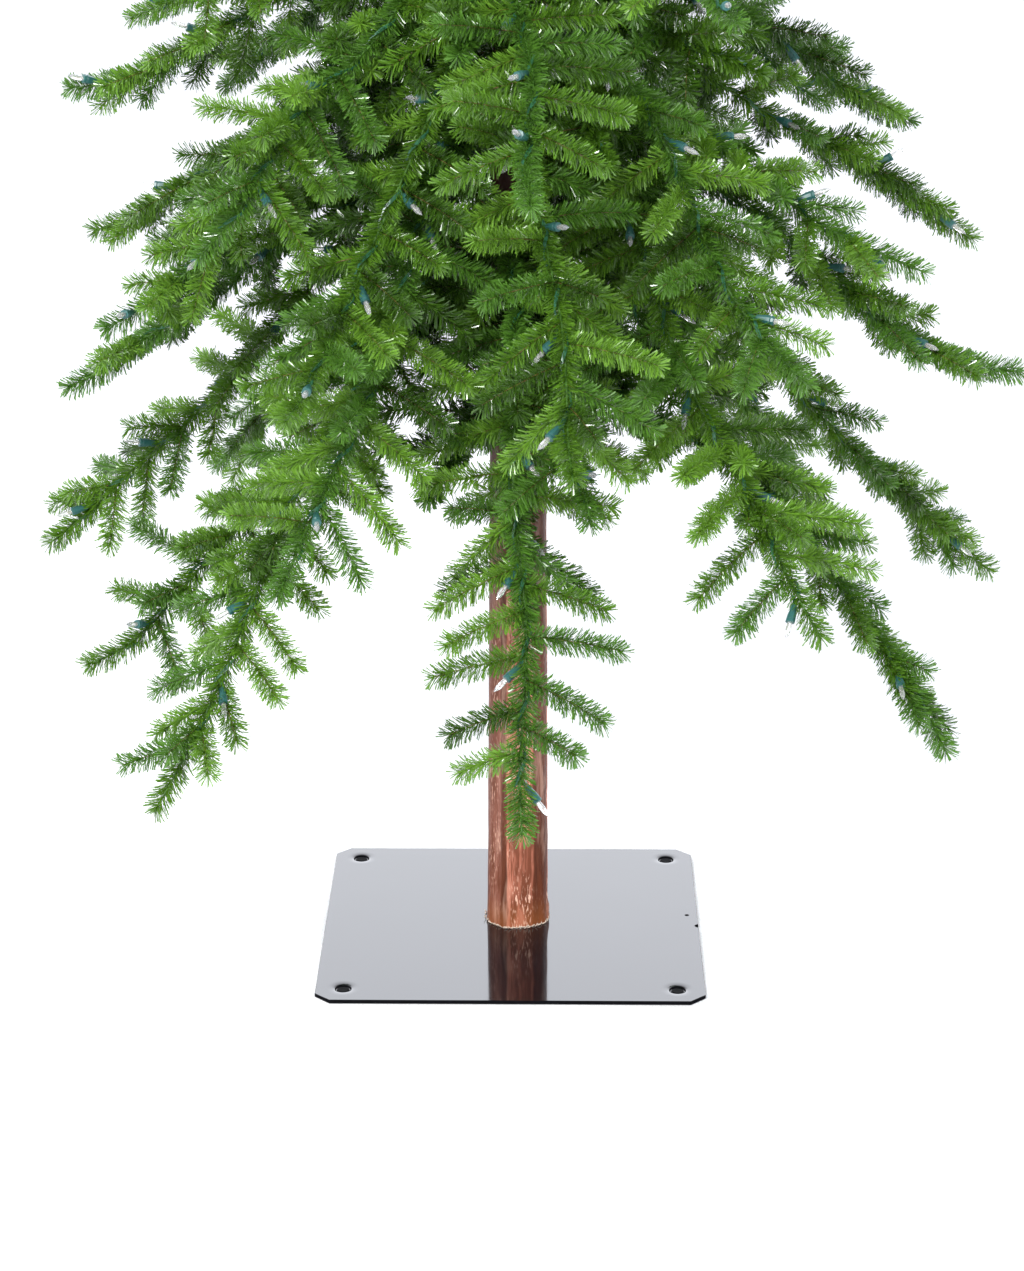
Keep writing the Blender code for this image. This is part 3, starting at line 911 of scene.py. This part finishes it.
def grow_leader(chance, length):
    """The upright tip of the tree: one vertical stem with short rising twigs all round."""
    foot = np.array([POLE_X, POLE_Y, POLE_TOP - LEADER_SINK])
    tip = np.array([POLE_X + LEADER_OFFSET, POLE_Y, TREE_TOP - LEADER_SHORT])
    stem = foot + (tip - foot) * np.linspace(0, 1, LEADER_POINTS)[:, None]
    leader = Bough("leader", "upper", stem, 0.0, 1.0)

    def add_twig(base, number, lean, size):
        direction = leaning(UP, turned_out(number), lean)
        leader.twigs.append(curved_twig(base, direction, UP, length * size))

    def turned_out(number):
        turn = math.radians(UPPER_TURN * number)
        return np.array([math.cos(turn), math.sin(turn), 0.0])

    first, span = LEADER_SPAN
    for number in range(LEADER_TWIGS):
        share = number / LEADER_TWIGS
        lean = math.radians(blend(LEADER_LEANS, share) + chance.gauss(0, LEADER_SPREAD))
        base = foot + (tip - foot) * (first + span * share)
        add_twig(base, number, lean, blend(LEADER_SIZES, share))
    for number in range(FOOT_TWIGS + COLLAR_TWIGS):
        if number < FOOT_TWIGS:
            base = foot + UP * chance.uniform(*FOOT_HEIGHTS)
            lean = math.radians(chance.uniform(*FOOT_LEANS))
        else:
            depth = COLLAR_DEPTH * (number - FOOT_TWIGS) / COLLAR_TWIGS
            base = foot - UP * depth + turned_out(number) * (POLE_TOP_RADIUS - MM)
            lean = math.radians(chance.uniform(*COLLAR_LEANS))
        add_twig(base, number, lean, chance.uniform(*COLLAR_SIZES))
    return leader


@functools.lru_cache(maxsize=2)
def grow_tree(twig_length, twig_spacing):
    """All the boughs, the same on every run."""
    tables = {}
    for tier, boughs in (
        ("low", with_fills(LOW_BOUGHS, LOW_FILLS)),
        ("middle", with_fills(MIDDLE_BOUGHS, MIDDLE_FILLS)),
        ("sharing", SHARING_BOUGHS),
    ):
        tables |= {f"{tier}_{number}": row for number, row in enumerate(boughs, 1)}
    tables |= inner_boughs() | upper_pairs()
    boughs = []
    for name, (azimuth, height, reach, tip, lift, roll, spread) in tables.items():
        chance = random.Random(f"{name} {SEED}")
        tier = name.split("_")[0]
        if tier in ("inner", "sharing"):
            tier = "middle" if height < INNER_TAPER_HEIGHT else "upper"
        stem = wavered(bough_line(azimuth, height, reach, tip, lift), chance)
        bough = Bough(name, tier, stem, roll, spread)
        short = 1.0
        if tier == "upper":
            short = blend((SHORTEST_TWIGS, 1.0), min(reach / UPPER_REACHES[0], 1))
        grow_twigs(bough, chance, twig_length * short, twig_spacing)
        boughs.append(bough)
    boughs.append(grow_leader(random.Random("leader"), twig_length))
    return boughs


def brush(line, start, count, length, width, chance):
    """Strips caught in a twisted wire: each stands out as a needle on two sides. Some are as
    wide as the strip at the wire and cut to a point, and some are pinched there and cut off.
    Each needle is one triangle."""
    total = arc_lengths(line)[-1]
    distances = np.tile(np.sort(chance.uniform(start, total, count // 2)), 2)
    bases, along = along_line(line, distances)
    normal = unit(np.cross(along, upright_axis(along)))
    sideways = np.cross(along, normal)
    angle = chance.uniform(0, 2 * math.pi, count // 2)
    angle = np.concatenate([angle, angle + math.pi])[:, None]
    radial = normal * np.cos(angle) + sideways * np.sin(angle)
    opening = np.clip((total - distances) / NEEDLE_TIP_ZONE, 0, 1)[:, None]
    lean = np.radians(blend((NEEDLE_TIP_LEAN, NEEDLE_LEAN), opening**NEEDLE_TIP_CURVE))
    lean = lean + np.radians(chance.normal(0, NEEDLE_SCATTER, angle.shape))
    direction = along * np.cos(lean) + radial * np.sin(lean)
    flat = unit(np.cross(direction, radial))
    edge = np.cross(direction, flat)
    roll = chance.uniform(0, math.pi, angle.shape)
    across = (flat * np.cos(roll) + edge * np.sin(roll)) * width / 2
    closing = 1 - NEEDLE_TIP_LOSS + NEEDLE_TIP_LOSS * opening
    reach = length * chance.normal(1.0, NEEDLE_SPREAD, angle.shape) * closing
    tip = bases + direction * reach + np.array([0, 0, -NEEDLE_SAG]) * reach
    blunt = chance.random(angle.shape) < BLUNT_SHARE
    first = np.where(blunt, bases, bases - across)
    second = np.where(blunt, tip - across, bases + across)
    third = np.where(blunt, tip + across - direction * width, tip)
    return np.stack([first, second, third], axis=1)


# The pieces

# Profiles are radius and height in millimetres, from the plate's top or a plug's foot
DIMPLE_PROFILE = (
    (0, -2.4), (6.0, -2.4), (6.5, -2.2), (7.1, -1.5), (7.8, -0.9), (8.8, -0.5),
    (10.5, -0.25), (13.0, -0.08), (16.0, 0.0), (16.3, 1.0), (0, 1.0),
)
DIMPLE_SIDES = 40
PIT_PROFILE = ((0, -2.0), (1.6, -1.9), (2.1, -0.4), (2.5, 1.0), (0, 1.0))
PIT_PLACE = (0.168, 0.014)
NICK_PROFILE = ((0, -3.0), (3.0, -3.0), (4.0, 1.0), (0, 1.0))
NICK_PLACE = (PLATE_SIDE / 2, -0.011)
MARK_SIDES = 14
PLUG_PROFILE = ((0, 0), (5.6, 0), (5.9, 0.2), (5.7, 0.5), (4.4, 0.75), (2.4, 0.65), (0, 0.6))
PLUG_SIDES = 24
PLUG_DEPTH = 2.35 * MM
RIM_SLOPE = 0.5  # upward part of a normal, below which a face counts as the plate's rim
CUT_SLOPE = 0.9  # and as a dimple's or a mark's wall


def cut_by(obj, cutters):
    """Cuts the cutters out of the object for good, and removes them."""
    for cutter in cutters:
        cut = obj.modifiers.new("cut", "BOOLEAN")
        cut.operation = "DIFFERENCE"
        cut.solver = "EXACT"
        cut.object = cutter
    graph = bpy.context.evaluated_depsgraph_get()
    mesh = bpy.data.meshes.new_from_object(obj.evaluated_get(graph))
    obj.modifiers.clear()
    obj.data = mesh
    for cutter in cutters:
        bpy.data.objects.remove(cutter, do_unlink=True)


def turned_cutter(profile, x, y, sides):
    """A hidden turned body on the plate's top. Its steep faces take the second material."""
    gather = Gather()
    add_lathe(gather, profile, Matrix.Translation((x, y, PLATE_TOP)), sides)
    mesh = bpy.data.meshes.new("cutter")
    faces = [list(face) for block in gather.faces for face in block]
    mesh.from_pydata(np.concatenate(gather.points).tolist(), [], faces)
    for face in mesh.polygons:
        face.material_index = int(abs(face.normal.z) < CUT_SLOPE)
    cutter = bpy.data.objects.new("cutter", mesh)
    bpy.context.scene.collection.objects.link(cutter)
    cutter.hide_render = True
    cutter.display_type = "WIRE"
    return cutter


def dimple_centres():
    reach = PLATE_SIDE / 2 - DIMPLE_INSET
    return [(x, y) for x in (-reach, reach) for y in (-reach, reach)]


def plate_outline(inset):
    """The square with cut corners, anticlockwise, drawn in by inset."""
    half = PLATE_SIDE / 2 - inset
    cut = PLATE_CORNER - inset * (2 - math.sqrt(2))
    quarter = [(half, -half + cut), (half, half - cut)]
    outline = []
    for _ in range(4):
        outline += quarter
        quarter = [(-y, x) for x, y in quarter]
    return outline


class TREE_OT_add_plate(bpy.types.Operator):
    """Add the enamelled steel plate with its dimples and rubber plugs"""

    bl_idname = "tree.add_plate"
    bl_label = "Base plate"

    def execute(self, context):
        colours = context.scene.tree_colours
        sheet = bmesh.new()
        levels = (
            (PLATE_ARRIS, 0),
            (0, PLATE_ARRIS),
            (0, PLATE_TOP - PLATE_ARRIS),
            (PLATE_ARRIS * 0.4, PLATE_TOP - PLATE_ARRIS * 0.25),
            (PLATE_ARRIS, PLATE_TOP),
        )
        rings = [[sheet.verts.new((x, y, z)) for x, y in plate_outline(inset)] for inset, z in levels]
        for low, high in zip(rings, rings[1:]):
            for i in range(len(low)):
                j = (i + 1) % len(low)
                sheet.faces.new((low[i], low[j], high[j], high[i]))
        sheet.faces.new(rings[0][::-1])
        sheet.faces.new(rings[-1])
        mesh = bpy.data.meshes.new("enamelled_plate")
        sheet.to_mesh(mesh)
        sheet.free()
        plate = as_piece("enamelled_plate", mesh, enamel_material(colours.enamel))
        mesh.materials.append(sheared_edge_material(colours.enamel))
        for face in mesh.polygons:
            face.material_index = int(abs(face.normal.z) < RIM_SLOPE)
        cuts = [(DIMPLE_PROFILE, x, y, DIMPLE_SIDES) for x, y in dimple_centres()]
        cuts += [(PIT_PROFILE, *PIT_PLACE, MARK_SIDES), (NICK_PROFILE, *NICK_PLACE, MARK_SIDES)]
        cut_by(plate, [turned_cutter(*cut) for cut in cuts])
        plate.data.shade_smooth()
        plate.data.set_sharp_from_angle(angle=PLATE_CREASE)
        flatten = plate.modifiers.new("flat_faces", "WEIGHTED_NORMAL")
        flatten.keep_sharp = True
        flatten.weight = 100
        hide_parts("base_plate")

        plugs = Gather()
        for x, y in dimple_centres():
            place = Matrix.Translation((x, y, PLATE_TOP - PLUG_DEPTH))
            add_lathe(plugs, PLUG_PROFILE, place, PLUG_SIDES)
        # Moulded rubber is dull, so the plugs sit dark in their bright dimples
        rubber = grained_material(
            "moulded_rubber", colours.rubber, roughness=0.8, grain=0.6 * MM, shine=0.1
        )
        plugs.piece("rubber_plugs", rubber)
        return {"FINISHED"}


TRUNK_SIDES = 72
TRUNK_STEPS = (0.004, 0.016)  # below and above where the foliage hides the pole
TRUNK_SHOWN = 0.80
TRUNK_CREASE = math.radians(60)
FOOT_GAP = 0.2 * MM  # between the plate and the pole
STRIPPED = 0.6 * MM  # that the knife took off, so that the lumps stay within the pole's size
FOOT_TEAR = (-0.7, 0.9)  # mm that the foot's rim strays in or out
# Where each pull of the knife begins, by azimuth in degrees, and the tone of its flat, which is
# partly the wood's own and partly painted light and shade
KNIFE_FLATS = (
    (12, "medium"), (50, "dark"), (74, "light"), (128, "medium"), (163, "dark"),
    (207, "medium"), (243, "dark"), (255, "light"), (309, "dark"), (350, "light"),
)
KNIFE_EDGE = 0.006  # of a turn
FLAT_SHARE = 0.6  # how far the flats are cut, between round and fully flat
FLAT_WANDER = 0.035  # of a turn, by which the flats' edges stray
FOOT_RAG = 6 * MM  # by which the edges of the resin and of the sawn end stray
# Count round the pole, size in millimetres, phase and drift with height
FLUTES = ((3, 0.8, 0.7, 0.9), (5, 0.55, 2.1, -1.1), (8, 0.4, 4.0, 1.7), (13, 0.28, 1.2, -2.3))
# Size in millimetres, fineness round the pole and length in metres
HEWN = ((0.5, 1.3, 0.06), (0.22, 5, 0.02))
# Knots and lumps: azimuth in degrees, height, size and how far each stands out, in millimetres
LUMPS = (
    (5, 14, 5, 2.2),
    (250, 182, 9, 1.6),
    (300, 395, 8, 1.4),
    (222, 330, 7, 1.3),
    (275, 90, 6, 0.9),
    (120, 250, 9, 1.6),
    (60, 420, 8, 1.5),
)
LUMP_STRETCH = 1.5  # of their height, against their breadth
FLAT_OVERLAP = 0.001  # radians, so that no angle falls between two flats
# Splinters: where each stands round the foot, in shares of their spacing, and how far it
# leans out, round the pole and up
SPLINTER_COUNT = 64
SPLINTER_SCATTER = (-0.4, 0.4)
SPLINTER_OUT = (0.1, 0.5)
SPLINTER_ROUND = (-1.6, 1.6)
SPLINTER_UP = (0.2, 0.8)
SPLINTER_SEATS = (-0.3, 0.6)  # mm from the pole's face
SPLINTER_HEIGHT = 0.5  # mm above the plate
SPLINTER_BOW = 0.2  # mm
SPLINTER_LENGTHS = (2.0, 5.0)  # mm
SPLINTER_RADII = (0.45, 0.38, 0.08)  # mm


def turn_between(angle, middle):
    """The turn from middle to angle, between -pi and pi."""
    return (angle - middle + math.pi) % (2 * math.pi) - math.pi


def trunk_relief(angle, height):
    """How far the stripped surface stands from the pole's even taper, in metres."""
    relief = sum(
        size * math.cos(count * angle + phase + drift * height)
        for count, size, phase, drift in FLUTES
    )
    for azimuth, lump_height, size, rise in LUMPS:
        turn = turn_between(angle, math.radians(azimuth))
        spread = (turn * POLE_FOOT_RADIUS / MM / size) ** 2
        spread += ((height / MM - lump_height) / (size * LUMP_STRETCH)) ** 2
        relief += rise * math.exp(-spread)
    relief += sum(
        size * noise.noise(Vector((math.cos(angle) * fine, math.sin(angle) * fine, height / length)))
        for size, fine, length in HEWN
    )
    return relief * MM + knife_relief(angle)


def knife_relief(angle):
    """How far the flats of the knife stand from round, in metres."""
    starts = [math.radians(azimuth) for azimuth, _ in KNIFE_FLATS]
    ends = [*starts[1:], starts[0] + 2 * math.pi]
    away = []
    for start, end in zip(starts, ends):
        half = (end - start) / 2
        turn = turn_between(angle, (start + end) / 2)
        if abs(turn) <= half + FLAT_OVERLAP:
            away.append(math.cos(half) / math.cos(turn) - 1)
    return FLAT_SHARE * min(away) * POLE_FOOT_RADIUS


class TREE_OT_add_trunk(bpy.types.Operator):
    """Add the stripped cedar pole with its flutes, knots and torn foot"""

    bl_idname = "tree.add_trunk"
    bl_label = "Trunk"

    def execute(self, context):
        colours = context.scene.tree_colours
        chance = random.Random("trunk")
        shown = np.arange(PLATE_TOP + FOOT_GAP, TRUNK_SHOWN, TRUNK_STEPS[0])
        hidden = np.arange(TRUNK_SHOWN, POLE_TOP, TRUNK_STEPS[1])
        heights = np.concatenate([shown, hidden, [POLE_TOP]])
        angles = ring_angles(TRUNK_SIDES)
        radii = np.array(
            [[pole_radius(z) - STRIPPED + trunk_relief(a, z) for a in angles] for z in heights]
        )
        radii[0] += np.array([chance.uniform(*FOOT_TEAR) * MM for _ in angles])
        pole = Gather()
        add_rings(pole, round_pole(radii, angles, np.broadcast_to(heights[:, None], radii.shape)))
        trunk = pole.piece("stripped_pole", cedar_material(colours))
        trunk.data.set_sharp_from_angle(angle=TRUNK_CREASE)
        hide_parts("trunk")

        splinters = Gather()
        for number in range(SPLINTER_COUNT):
            self.add_splinter(splinters, number, chance)
        # Torn cedar is raw and dull, so it shows paler than the varnished face
        raw = grained_material(
            "torn_cedar_fibre", colours.raw_wood, roughness=0.8, grain=0.8 * MM
        )
        splinters.piece("foot_splinters", raw)
        return {"FINISHED"}

    def add_splinter(self, splinters, number, chance):
        """One short fibre that the saw tore up at the foot's rim."""
        angle = 2 * math.pi * (number + chance.uniform(*SPLINTER_SCATTER)) / SPLINTER_COUNT
        radius = pole_radius(PLATE_TOP) + chance.uniform(*SPLINTER_SEATS) * MM
        out = np.array([math.cos(angle), math.sin(angle), 0.0])
        round_it = np.array([-out[1], out[0], 0.0])
        base = np.array([POLE_X, POLE_Y, PLATE_TOP + SPLINTER_HEIGHT * MM]) + out * radius
        lean = out * chance.uniform(*SPLINTER_OUT) + round_it * chance.uniform(*SPLINTER_ROUND)
        lean[2] = chance.uniform(*SPLINTER_UP)
        tip = base + unit(lean) * chance.uniform(*SPLINTER_LENGTHS) * MM
        middle = (base + tip) / 2 + out * SPLINTER_BOW * MM
        radii = np.array(SPLINTER_RADII) * MM
        add_tube(splinters, np.array([base, middle, tip]), radii, LEAD_SIDES)


class TREE_OT_add_boughs(bpy.types.Operator):
    """Add the taped wire stems of the boughs and the twisted wires of their twigs"""

    bl_idname = "tree.add_boughs"
    bl_label = "Bough wires"

    def execute(self, context):
        sizes = context.scene.tree_sizes
        colours = context.scene.tree_colours
        stems, twigs = Gather(), Gather()
        for bough in grow_tree(sizes.twig_length, sizes.twig_spacing):
            total = arc_lengths(bough.stem)[-1]
            line = part_of_line(bough.stem, 0, total, STEM_STEP)
            share = np.linspace(0, 1, len(line))
            radii = blend(STEM_RADII[bough.tier], np.sqrt(share)) * MM
            wrap = share[:, None] * total / TAPE_PITCH - np.arange(STEM_SIDES) / STEM_SIDES
            ridge = 1 + TAPE_RIDGE * (wrap % 1.0)
            add_tube(stems, line, radii[:, None] * ridge, STEM_SIDES)
            for twig in bough.twigs:
                radii = np.linspace(*TWIG_TAPER, len(twig)) * TWIG_RADIUS
                add_tube(twigs, twig, radii, WIRE_SIDES)
        stem_piece = stems.piece("taped_stems", tape_material(colours.tape))
        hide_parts(*[n for n in NODES if n.startswith("low_bough")])
        twigs.piece("twig_wires", twist_material(colours.twist))
        return {"FINISHED"}


class TREE_OT_add_needles(bpy.types.Operator):
    """Add the cut PVC needles of every stem and twig, with shades dealt out by twig"""

    bl_idname = "tree.add_needles"
    bl_label = "Needles"

    def execute(self, context):
        sizes = context.scene.tree_sizes
        colours = context.scene.tree_colours
        materials = {
            shade: needle_material(shade, getattr(colours, f"needle_{shade}")) for shade in SHADES
        }
        gathers = {}
        chance = np.random.default_rng(NEEDLE_SEED)
        for bough in grow_tree(sizes.twig_length, sizes.twig_spacing):
            bare = BARE_LENGTH[bough.tier] if bough.name != "leader" else 0.0
            inner = bough.name.startswith("inner")
            shares = SHADE_SHARES["inner" if inner else bough.tier]
            shade = str(chance.choice(STEM_SHADES))
            shoots = [(bough.stem, bare, STEM_FILL, STEM_NEEDLE, shade)]
            fill, size = (INNER_FILL, INNER_NEEDLE) if inner else (1.0, 1.0)
            width = sizes.needle_width * (INNER_WIDTH if inner else 1.0)
            for twig in bough.twigs:
                shade = str(chance.choice(SHADES, p=shares))
                shoots.append((twig, TWIG_BARE, fill, size, shade))
            for line, start, fill, size, shade in shoots:
                run = arc_lengths(line)[-1] - start
                count = int(run * sizes.needles_per_metre * fill * TIER_FILL[bough.tier])
                length = sizes.needle_length * TIER_NEEDLES[bough.tier] * size
                needles = brush(line, start, count, length, width, chance)
                gather = gathers.setdefault((bough.tier, shade), Gather())
                gather.add(needles, np.arange(len(needles) * 3).reshape(-1, 3))
        for (tier, shade), gather in gathers.items():
            piece = gather.piece(f"needles_{tier}_{shade}", materials[shade], smooth_shading=False)
            nodes = [n for n in NODES if n.startswith(f"{tier}_foliage")]
            if tier == "upper":
                nodes.append("leader_foliage")
            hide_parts(*nodes)
        return {"FINISHED"}


def strand_pair(line, offset, phase):
    """Two insulated wires that twist round each other and round a stem."""
    total = arc_lengths(line)[-1]
    path = part_of_line(line, 0, total, STRAND_STEP)
    normals, sideways = line_axes(path)
    turns = 2 * math.pi * np.linspace(0, total, len(path)) / STRAND_PITCH + phase
    for shift in (0.0, STRAND_SHIFT):
        angle = (turns + shift)[:, None]
        yield path + (normals * np.cos(angle) + sideways * np.sin(angle)) * offset


class TREE_OT_add_lights(bpy.types.Operator):
    """Add the strings of clear mini lamps that are clipped along the boughs"""

    bl_idname = "tree.add_lights"
    bl_label = "Lights"

    def execute(self, context):
        sizes = context.scene.tree_sizes
        colours = context.scene.tree_colours
        wires, sockets, bulbs, filaments = Gather(), Gather(), Gather(), Gather()
        for bough in grow_tree(sizes.twig_length, sizes.twig_spacing):
            chance = random.Random(bough.name + " lamps")
            total = arc_lengths(bough.stem)[-1]
            run = part_of_line(bough.stem, STRAND_START, total * STRAND_END, STRAND_RUN_STEP)
            offset = STEM_RADII[bough.tier][0] * MM + STRAND_GAP
            for strand in strand_pair(run, offset, chance.uniform(*STRAND_PHASES)):
                add_tube(wires, strand, STRAND_RADIUS, WIRE_SIDES)
            if bough.name.startswith(("inner", "leader")):
                continue
            distance = sizes.lamp_spacing * chance.uniform(*LAMP_FIRST)
            while distance < total * LAMP_END:
                self.add_lamp(bough.stem, distance, chance, wires, sockets, bulbs, filaments)
                distance += sizes.lamp_spacing * chance.uniform(*SPACING_SPREAD)
        self.add_pole_run(wires)
        # Extruded PVC is smooth, so each wire shows a thin bright line. The moulded PVC of the
        # sockets is satin, and their blue-green stays even
        insulation = grained_material(
            "lamp_wire_pvc", colours.lamp_wire, roughness=0.3, grain=0.5 * MM
        )
        moulding = grained_material(
            "moulded_socket", colours.socket, roughness=0.36, grain=0.4 * MM
        )
        for gather, name, slot, material in (
            (wires, "lamp_wires", "light_wire", insulation),
            (sockets, "lamp_sockets", "light_socket", moulding),
            (bulbs, "lamp_bulbs", "light_bulb", bulb_material()),
            (filaments, "lamp_filaments", "light_bulb", filament_material()),
        ):
            piece = gather.piece(name, material)
            piece.data.set_sharp_from_angle(angle=LAMP_CREASE)
        return {"FINISHED"}

    def add_lamp(self, stem, distance, chance, wires, sockets, bulbs, filaments):
        """One lamp that stands out of the needles, with its two leads."""
        base, along, across, through = on_line(stem, distance)
        angle = chance.uniform(-LAMP_TURN, LAMP_TURN)
        out = through * math.cos(angle) + across * math.sin(angle)
        direction = unit(out + along * chance.uniform(*LAMP_FORWARD))
        start = base + out * SOCKET_OUT
        turn = Vector(direction).to_track_quat("Z", "Y").to_matrix().to_4x4()
        place = Matrix.Translation(start) @ turn
        bulb_place = place @ Matrix.Translation((0, 0, BULB_IN_SOCKET))
        add_lathe(sockets, SOCKET_PROFILE, place, LAMP_SIDES)
        add_lathe(bulbs, BULB_PROFILE, bulb_place, LAMP_SIDES)
        coil = np.array([bulb_place @ (Vector(point) * MM) for point in FILAMENT_LOOP])
        add_tube(filaments, coil, FILAMENT_RADIUS, WIRE_SIDES)
        for side in (-1, 1):
            foot = start + across * side * LEAD_FOOT * MM
            bend = start - direction * LEAD_BEND[0] * MM + across * side * LEAD_BEND[1] * MM
            end = base - along * LEAD_END[0] * MM + out * LEAD_END[1] * MM
            add_tube(wires, bent_line(foot, bend, end, LEAD_POINTS), LEAD_RADIUS, LEAD_SIDES)

    def add_pole_run(self, wires):
        """The pair that winds up the pole from bough to bough."""
        heights = np.arange(min(row[1] for row in LOW_BOUGHS), UPPER_HEIGHTS[1], POLE_RUN_STEP)
        radii = np.array([pole_radius(z) for z in heights]) + POLE_RUN_GAP
        for shift in (0.0, POLE_RUN_SHIFT):
            angles = 2 * math.pi * heights / POLE_RUN_PITCH + shift
            add_tube(wires, round_pole(radii, angles, heights), STRAND_RADIUS, LEAD_SIDES)


class TREE_OT_add_stage(bpy.types.Operator):
    """Add the pale floor, the soft lights, the sky and the camera"""

    bl_idname = "tree.add_stage"
    bl_label = "Stage"

    def execute(self, context):
        scene = context.scene
        sheet = bmesh.new()
        bmesh.ops.create_grid(sheet, x_segments=8, y_segments=8, size=FLOOR_REACH)
        mesh = bpy.data.meshes.new("floor")
        sheet.to_mesh(mesh)
        sheet.free()
        # Seamless paper is matte, so the floor stays pale and even
        paper = grained_material(
            "seamless_paper", scene.tree_colours.floor, roughness=0.9, grain=2 * MM
        )
        mesh.materials.append(paper)
        floor = bpy.data.objects.new("floor", mesh)
        floor.location.z = -FLOOR_GAP
        scene.collection.objects.link(floor)
        floor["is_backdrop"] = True
        for light in LIGHTS:
            self.add_light(scene, *light)
        self.add_sky(scene)
        self.add_camera(scene)
        scene.view_settings.view_transform = "Standard"
        return {"FINISHED"}

    def add_light(self, scene, name, place, size, watts, mirrored):
        """A square softbox that faces the middle of the tree."""
        light = bpy.data.lights.new(name, "AREA")
        light.shape = "SQUARE"
        light.size = size
        light.energy = watts
        lamp = bpy.data.objects.new(name, light)
        lamp.location = place
        aim = Vector(LIGHT_AIM) - Vector(place)
        lamp.rotation_euler = aim.to_track_quat("-Z", "Y").to_euler()
        lamp.visible_glossy = mirrored
        scene.collection.objects.link(lamp)

    def add_sky(self, scene):
        """A white studio: its walls are brighter than its ceiling, and brightest behind the tree."""
        world = bpy.data.worlds.new("studio")
        world.use_nodes = True
        tree = world.node_tree
        tree.nodes.clear()
        place = add_node(tree, "ShaderNodeTexCoord").outputs["Generated"]
        parts = add_node(tree, "ShaderNodeSeparateXYZ", {"Vector": place}).outputs
        greys = [(height, (grey, grey, grey)) for height, grey in SKY_GREYS]
        band = add_node(tree, "ShaderNodeValToRGB", {"Fac": parts["Z"]}, greys)
        depth = add_node(tree, "ShaderNodeMapRange", {"Value": parts["Y"], **SKY_FRONT})
        walls = {0: band, 1: depth}
        bright = {0: add_node(tree, "ShaderNodeMath", walls, operation="MULTIPLY"), 1: SKY_STRENGTH}
        strength = add_node(tree, "ShaderNodeMath", bright, operation="MULTIPLY")
        light = {"Color": SKY_COLOUR, "Strength": strength}
        background = add_node(tree, "ShaderNodeBackground", light)
        add_node(tree, "ShaderNodeOutputWorld", {"Surface": background})
        scene.world = world

    def add_camera(self, scene):
        """A camera that looks slightly down at the lower half of the tree."""
        data = bpy.data.cameras.new("camera")
        data.sensor_width = SENSOR_WIDTH
        data.lens = CAMERA_LENS
        camera = bpy.data.objects.new("camera", data)
        turn = math.radians(CAMERA_AZIMUTH)
        back, side = CAMERA_DISTANCE * math.cos(turn), CAMERA_DISTANCE * math.sin(turn)
        camera.location = (-side, -back, CAMERA_HEIGHT)
        camera.rotation_euler = (math.radians(90 - CAMERA_PITCH), 0, -turn)
        scene.collection.objects.link(camera)
        scene.camera = camera


class TREE_PT_panel(bpy.types.Panel):
    """The tree's pieces, sizes and colours"""

    bl_idname = "TREE_PT_panel"
    bl_label = "Alpine tree"
    bl_space_type = "VIEW_3D"
    bl_region_type = "UI"
    bl_category = "Tree"

    def draw(self, context):
        for operator in OPERATORS:
            self.layout.operator(operator.bl_idname)
        for group in (context.scene.tree_sizes, context.scene.tree_colours):
            box = self.layout.box()
            for name in group.__annotations__:
                box.prop(group, name)


OPERATORS = (
    TREE_OT_add_stage,
    TREE_OT_add_plate,
    TREE_OT_add_trunk,
    TREE_OT_add_boughs,
    TREE_OT_add_needles,
    TREE_OT_add_lights,
)
CLASSES = (TreeSizes, TreeColours, *OPERATORS, TREE_PT_panel)


def register():
    for cls in CLASSES:
        bpy.utils.register_class(cls)
    bpy.types.Scene.tree_sizes = PointerProperty(type=TreeSizes)
    bpy.types.Scene.tree_colours = PointerProperty(type=TreeColours)


def unregister():
    del bpy.types.Scene.tree_colours
    del bpy.types.Scene.tree_sizes
    for cls in reversed(CLASSES):
        bpy.utils.unregister_class(cls)


def main():
    register()
    for operator in OPERATORS:
        family, name = operator.bl_idname.split(".")
        getattr(getattr(bpy.ops, family), name)()
    boxes = {"cad": CAD_BOX, "visual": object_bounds()}
    plain = {name: [list(corner) for corner in box] for name, box in boxes.items()}


if __name__ == "__main__":
    main()
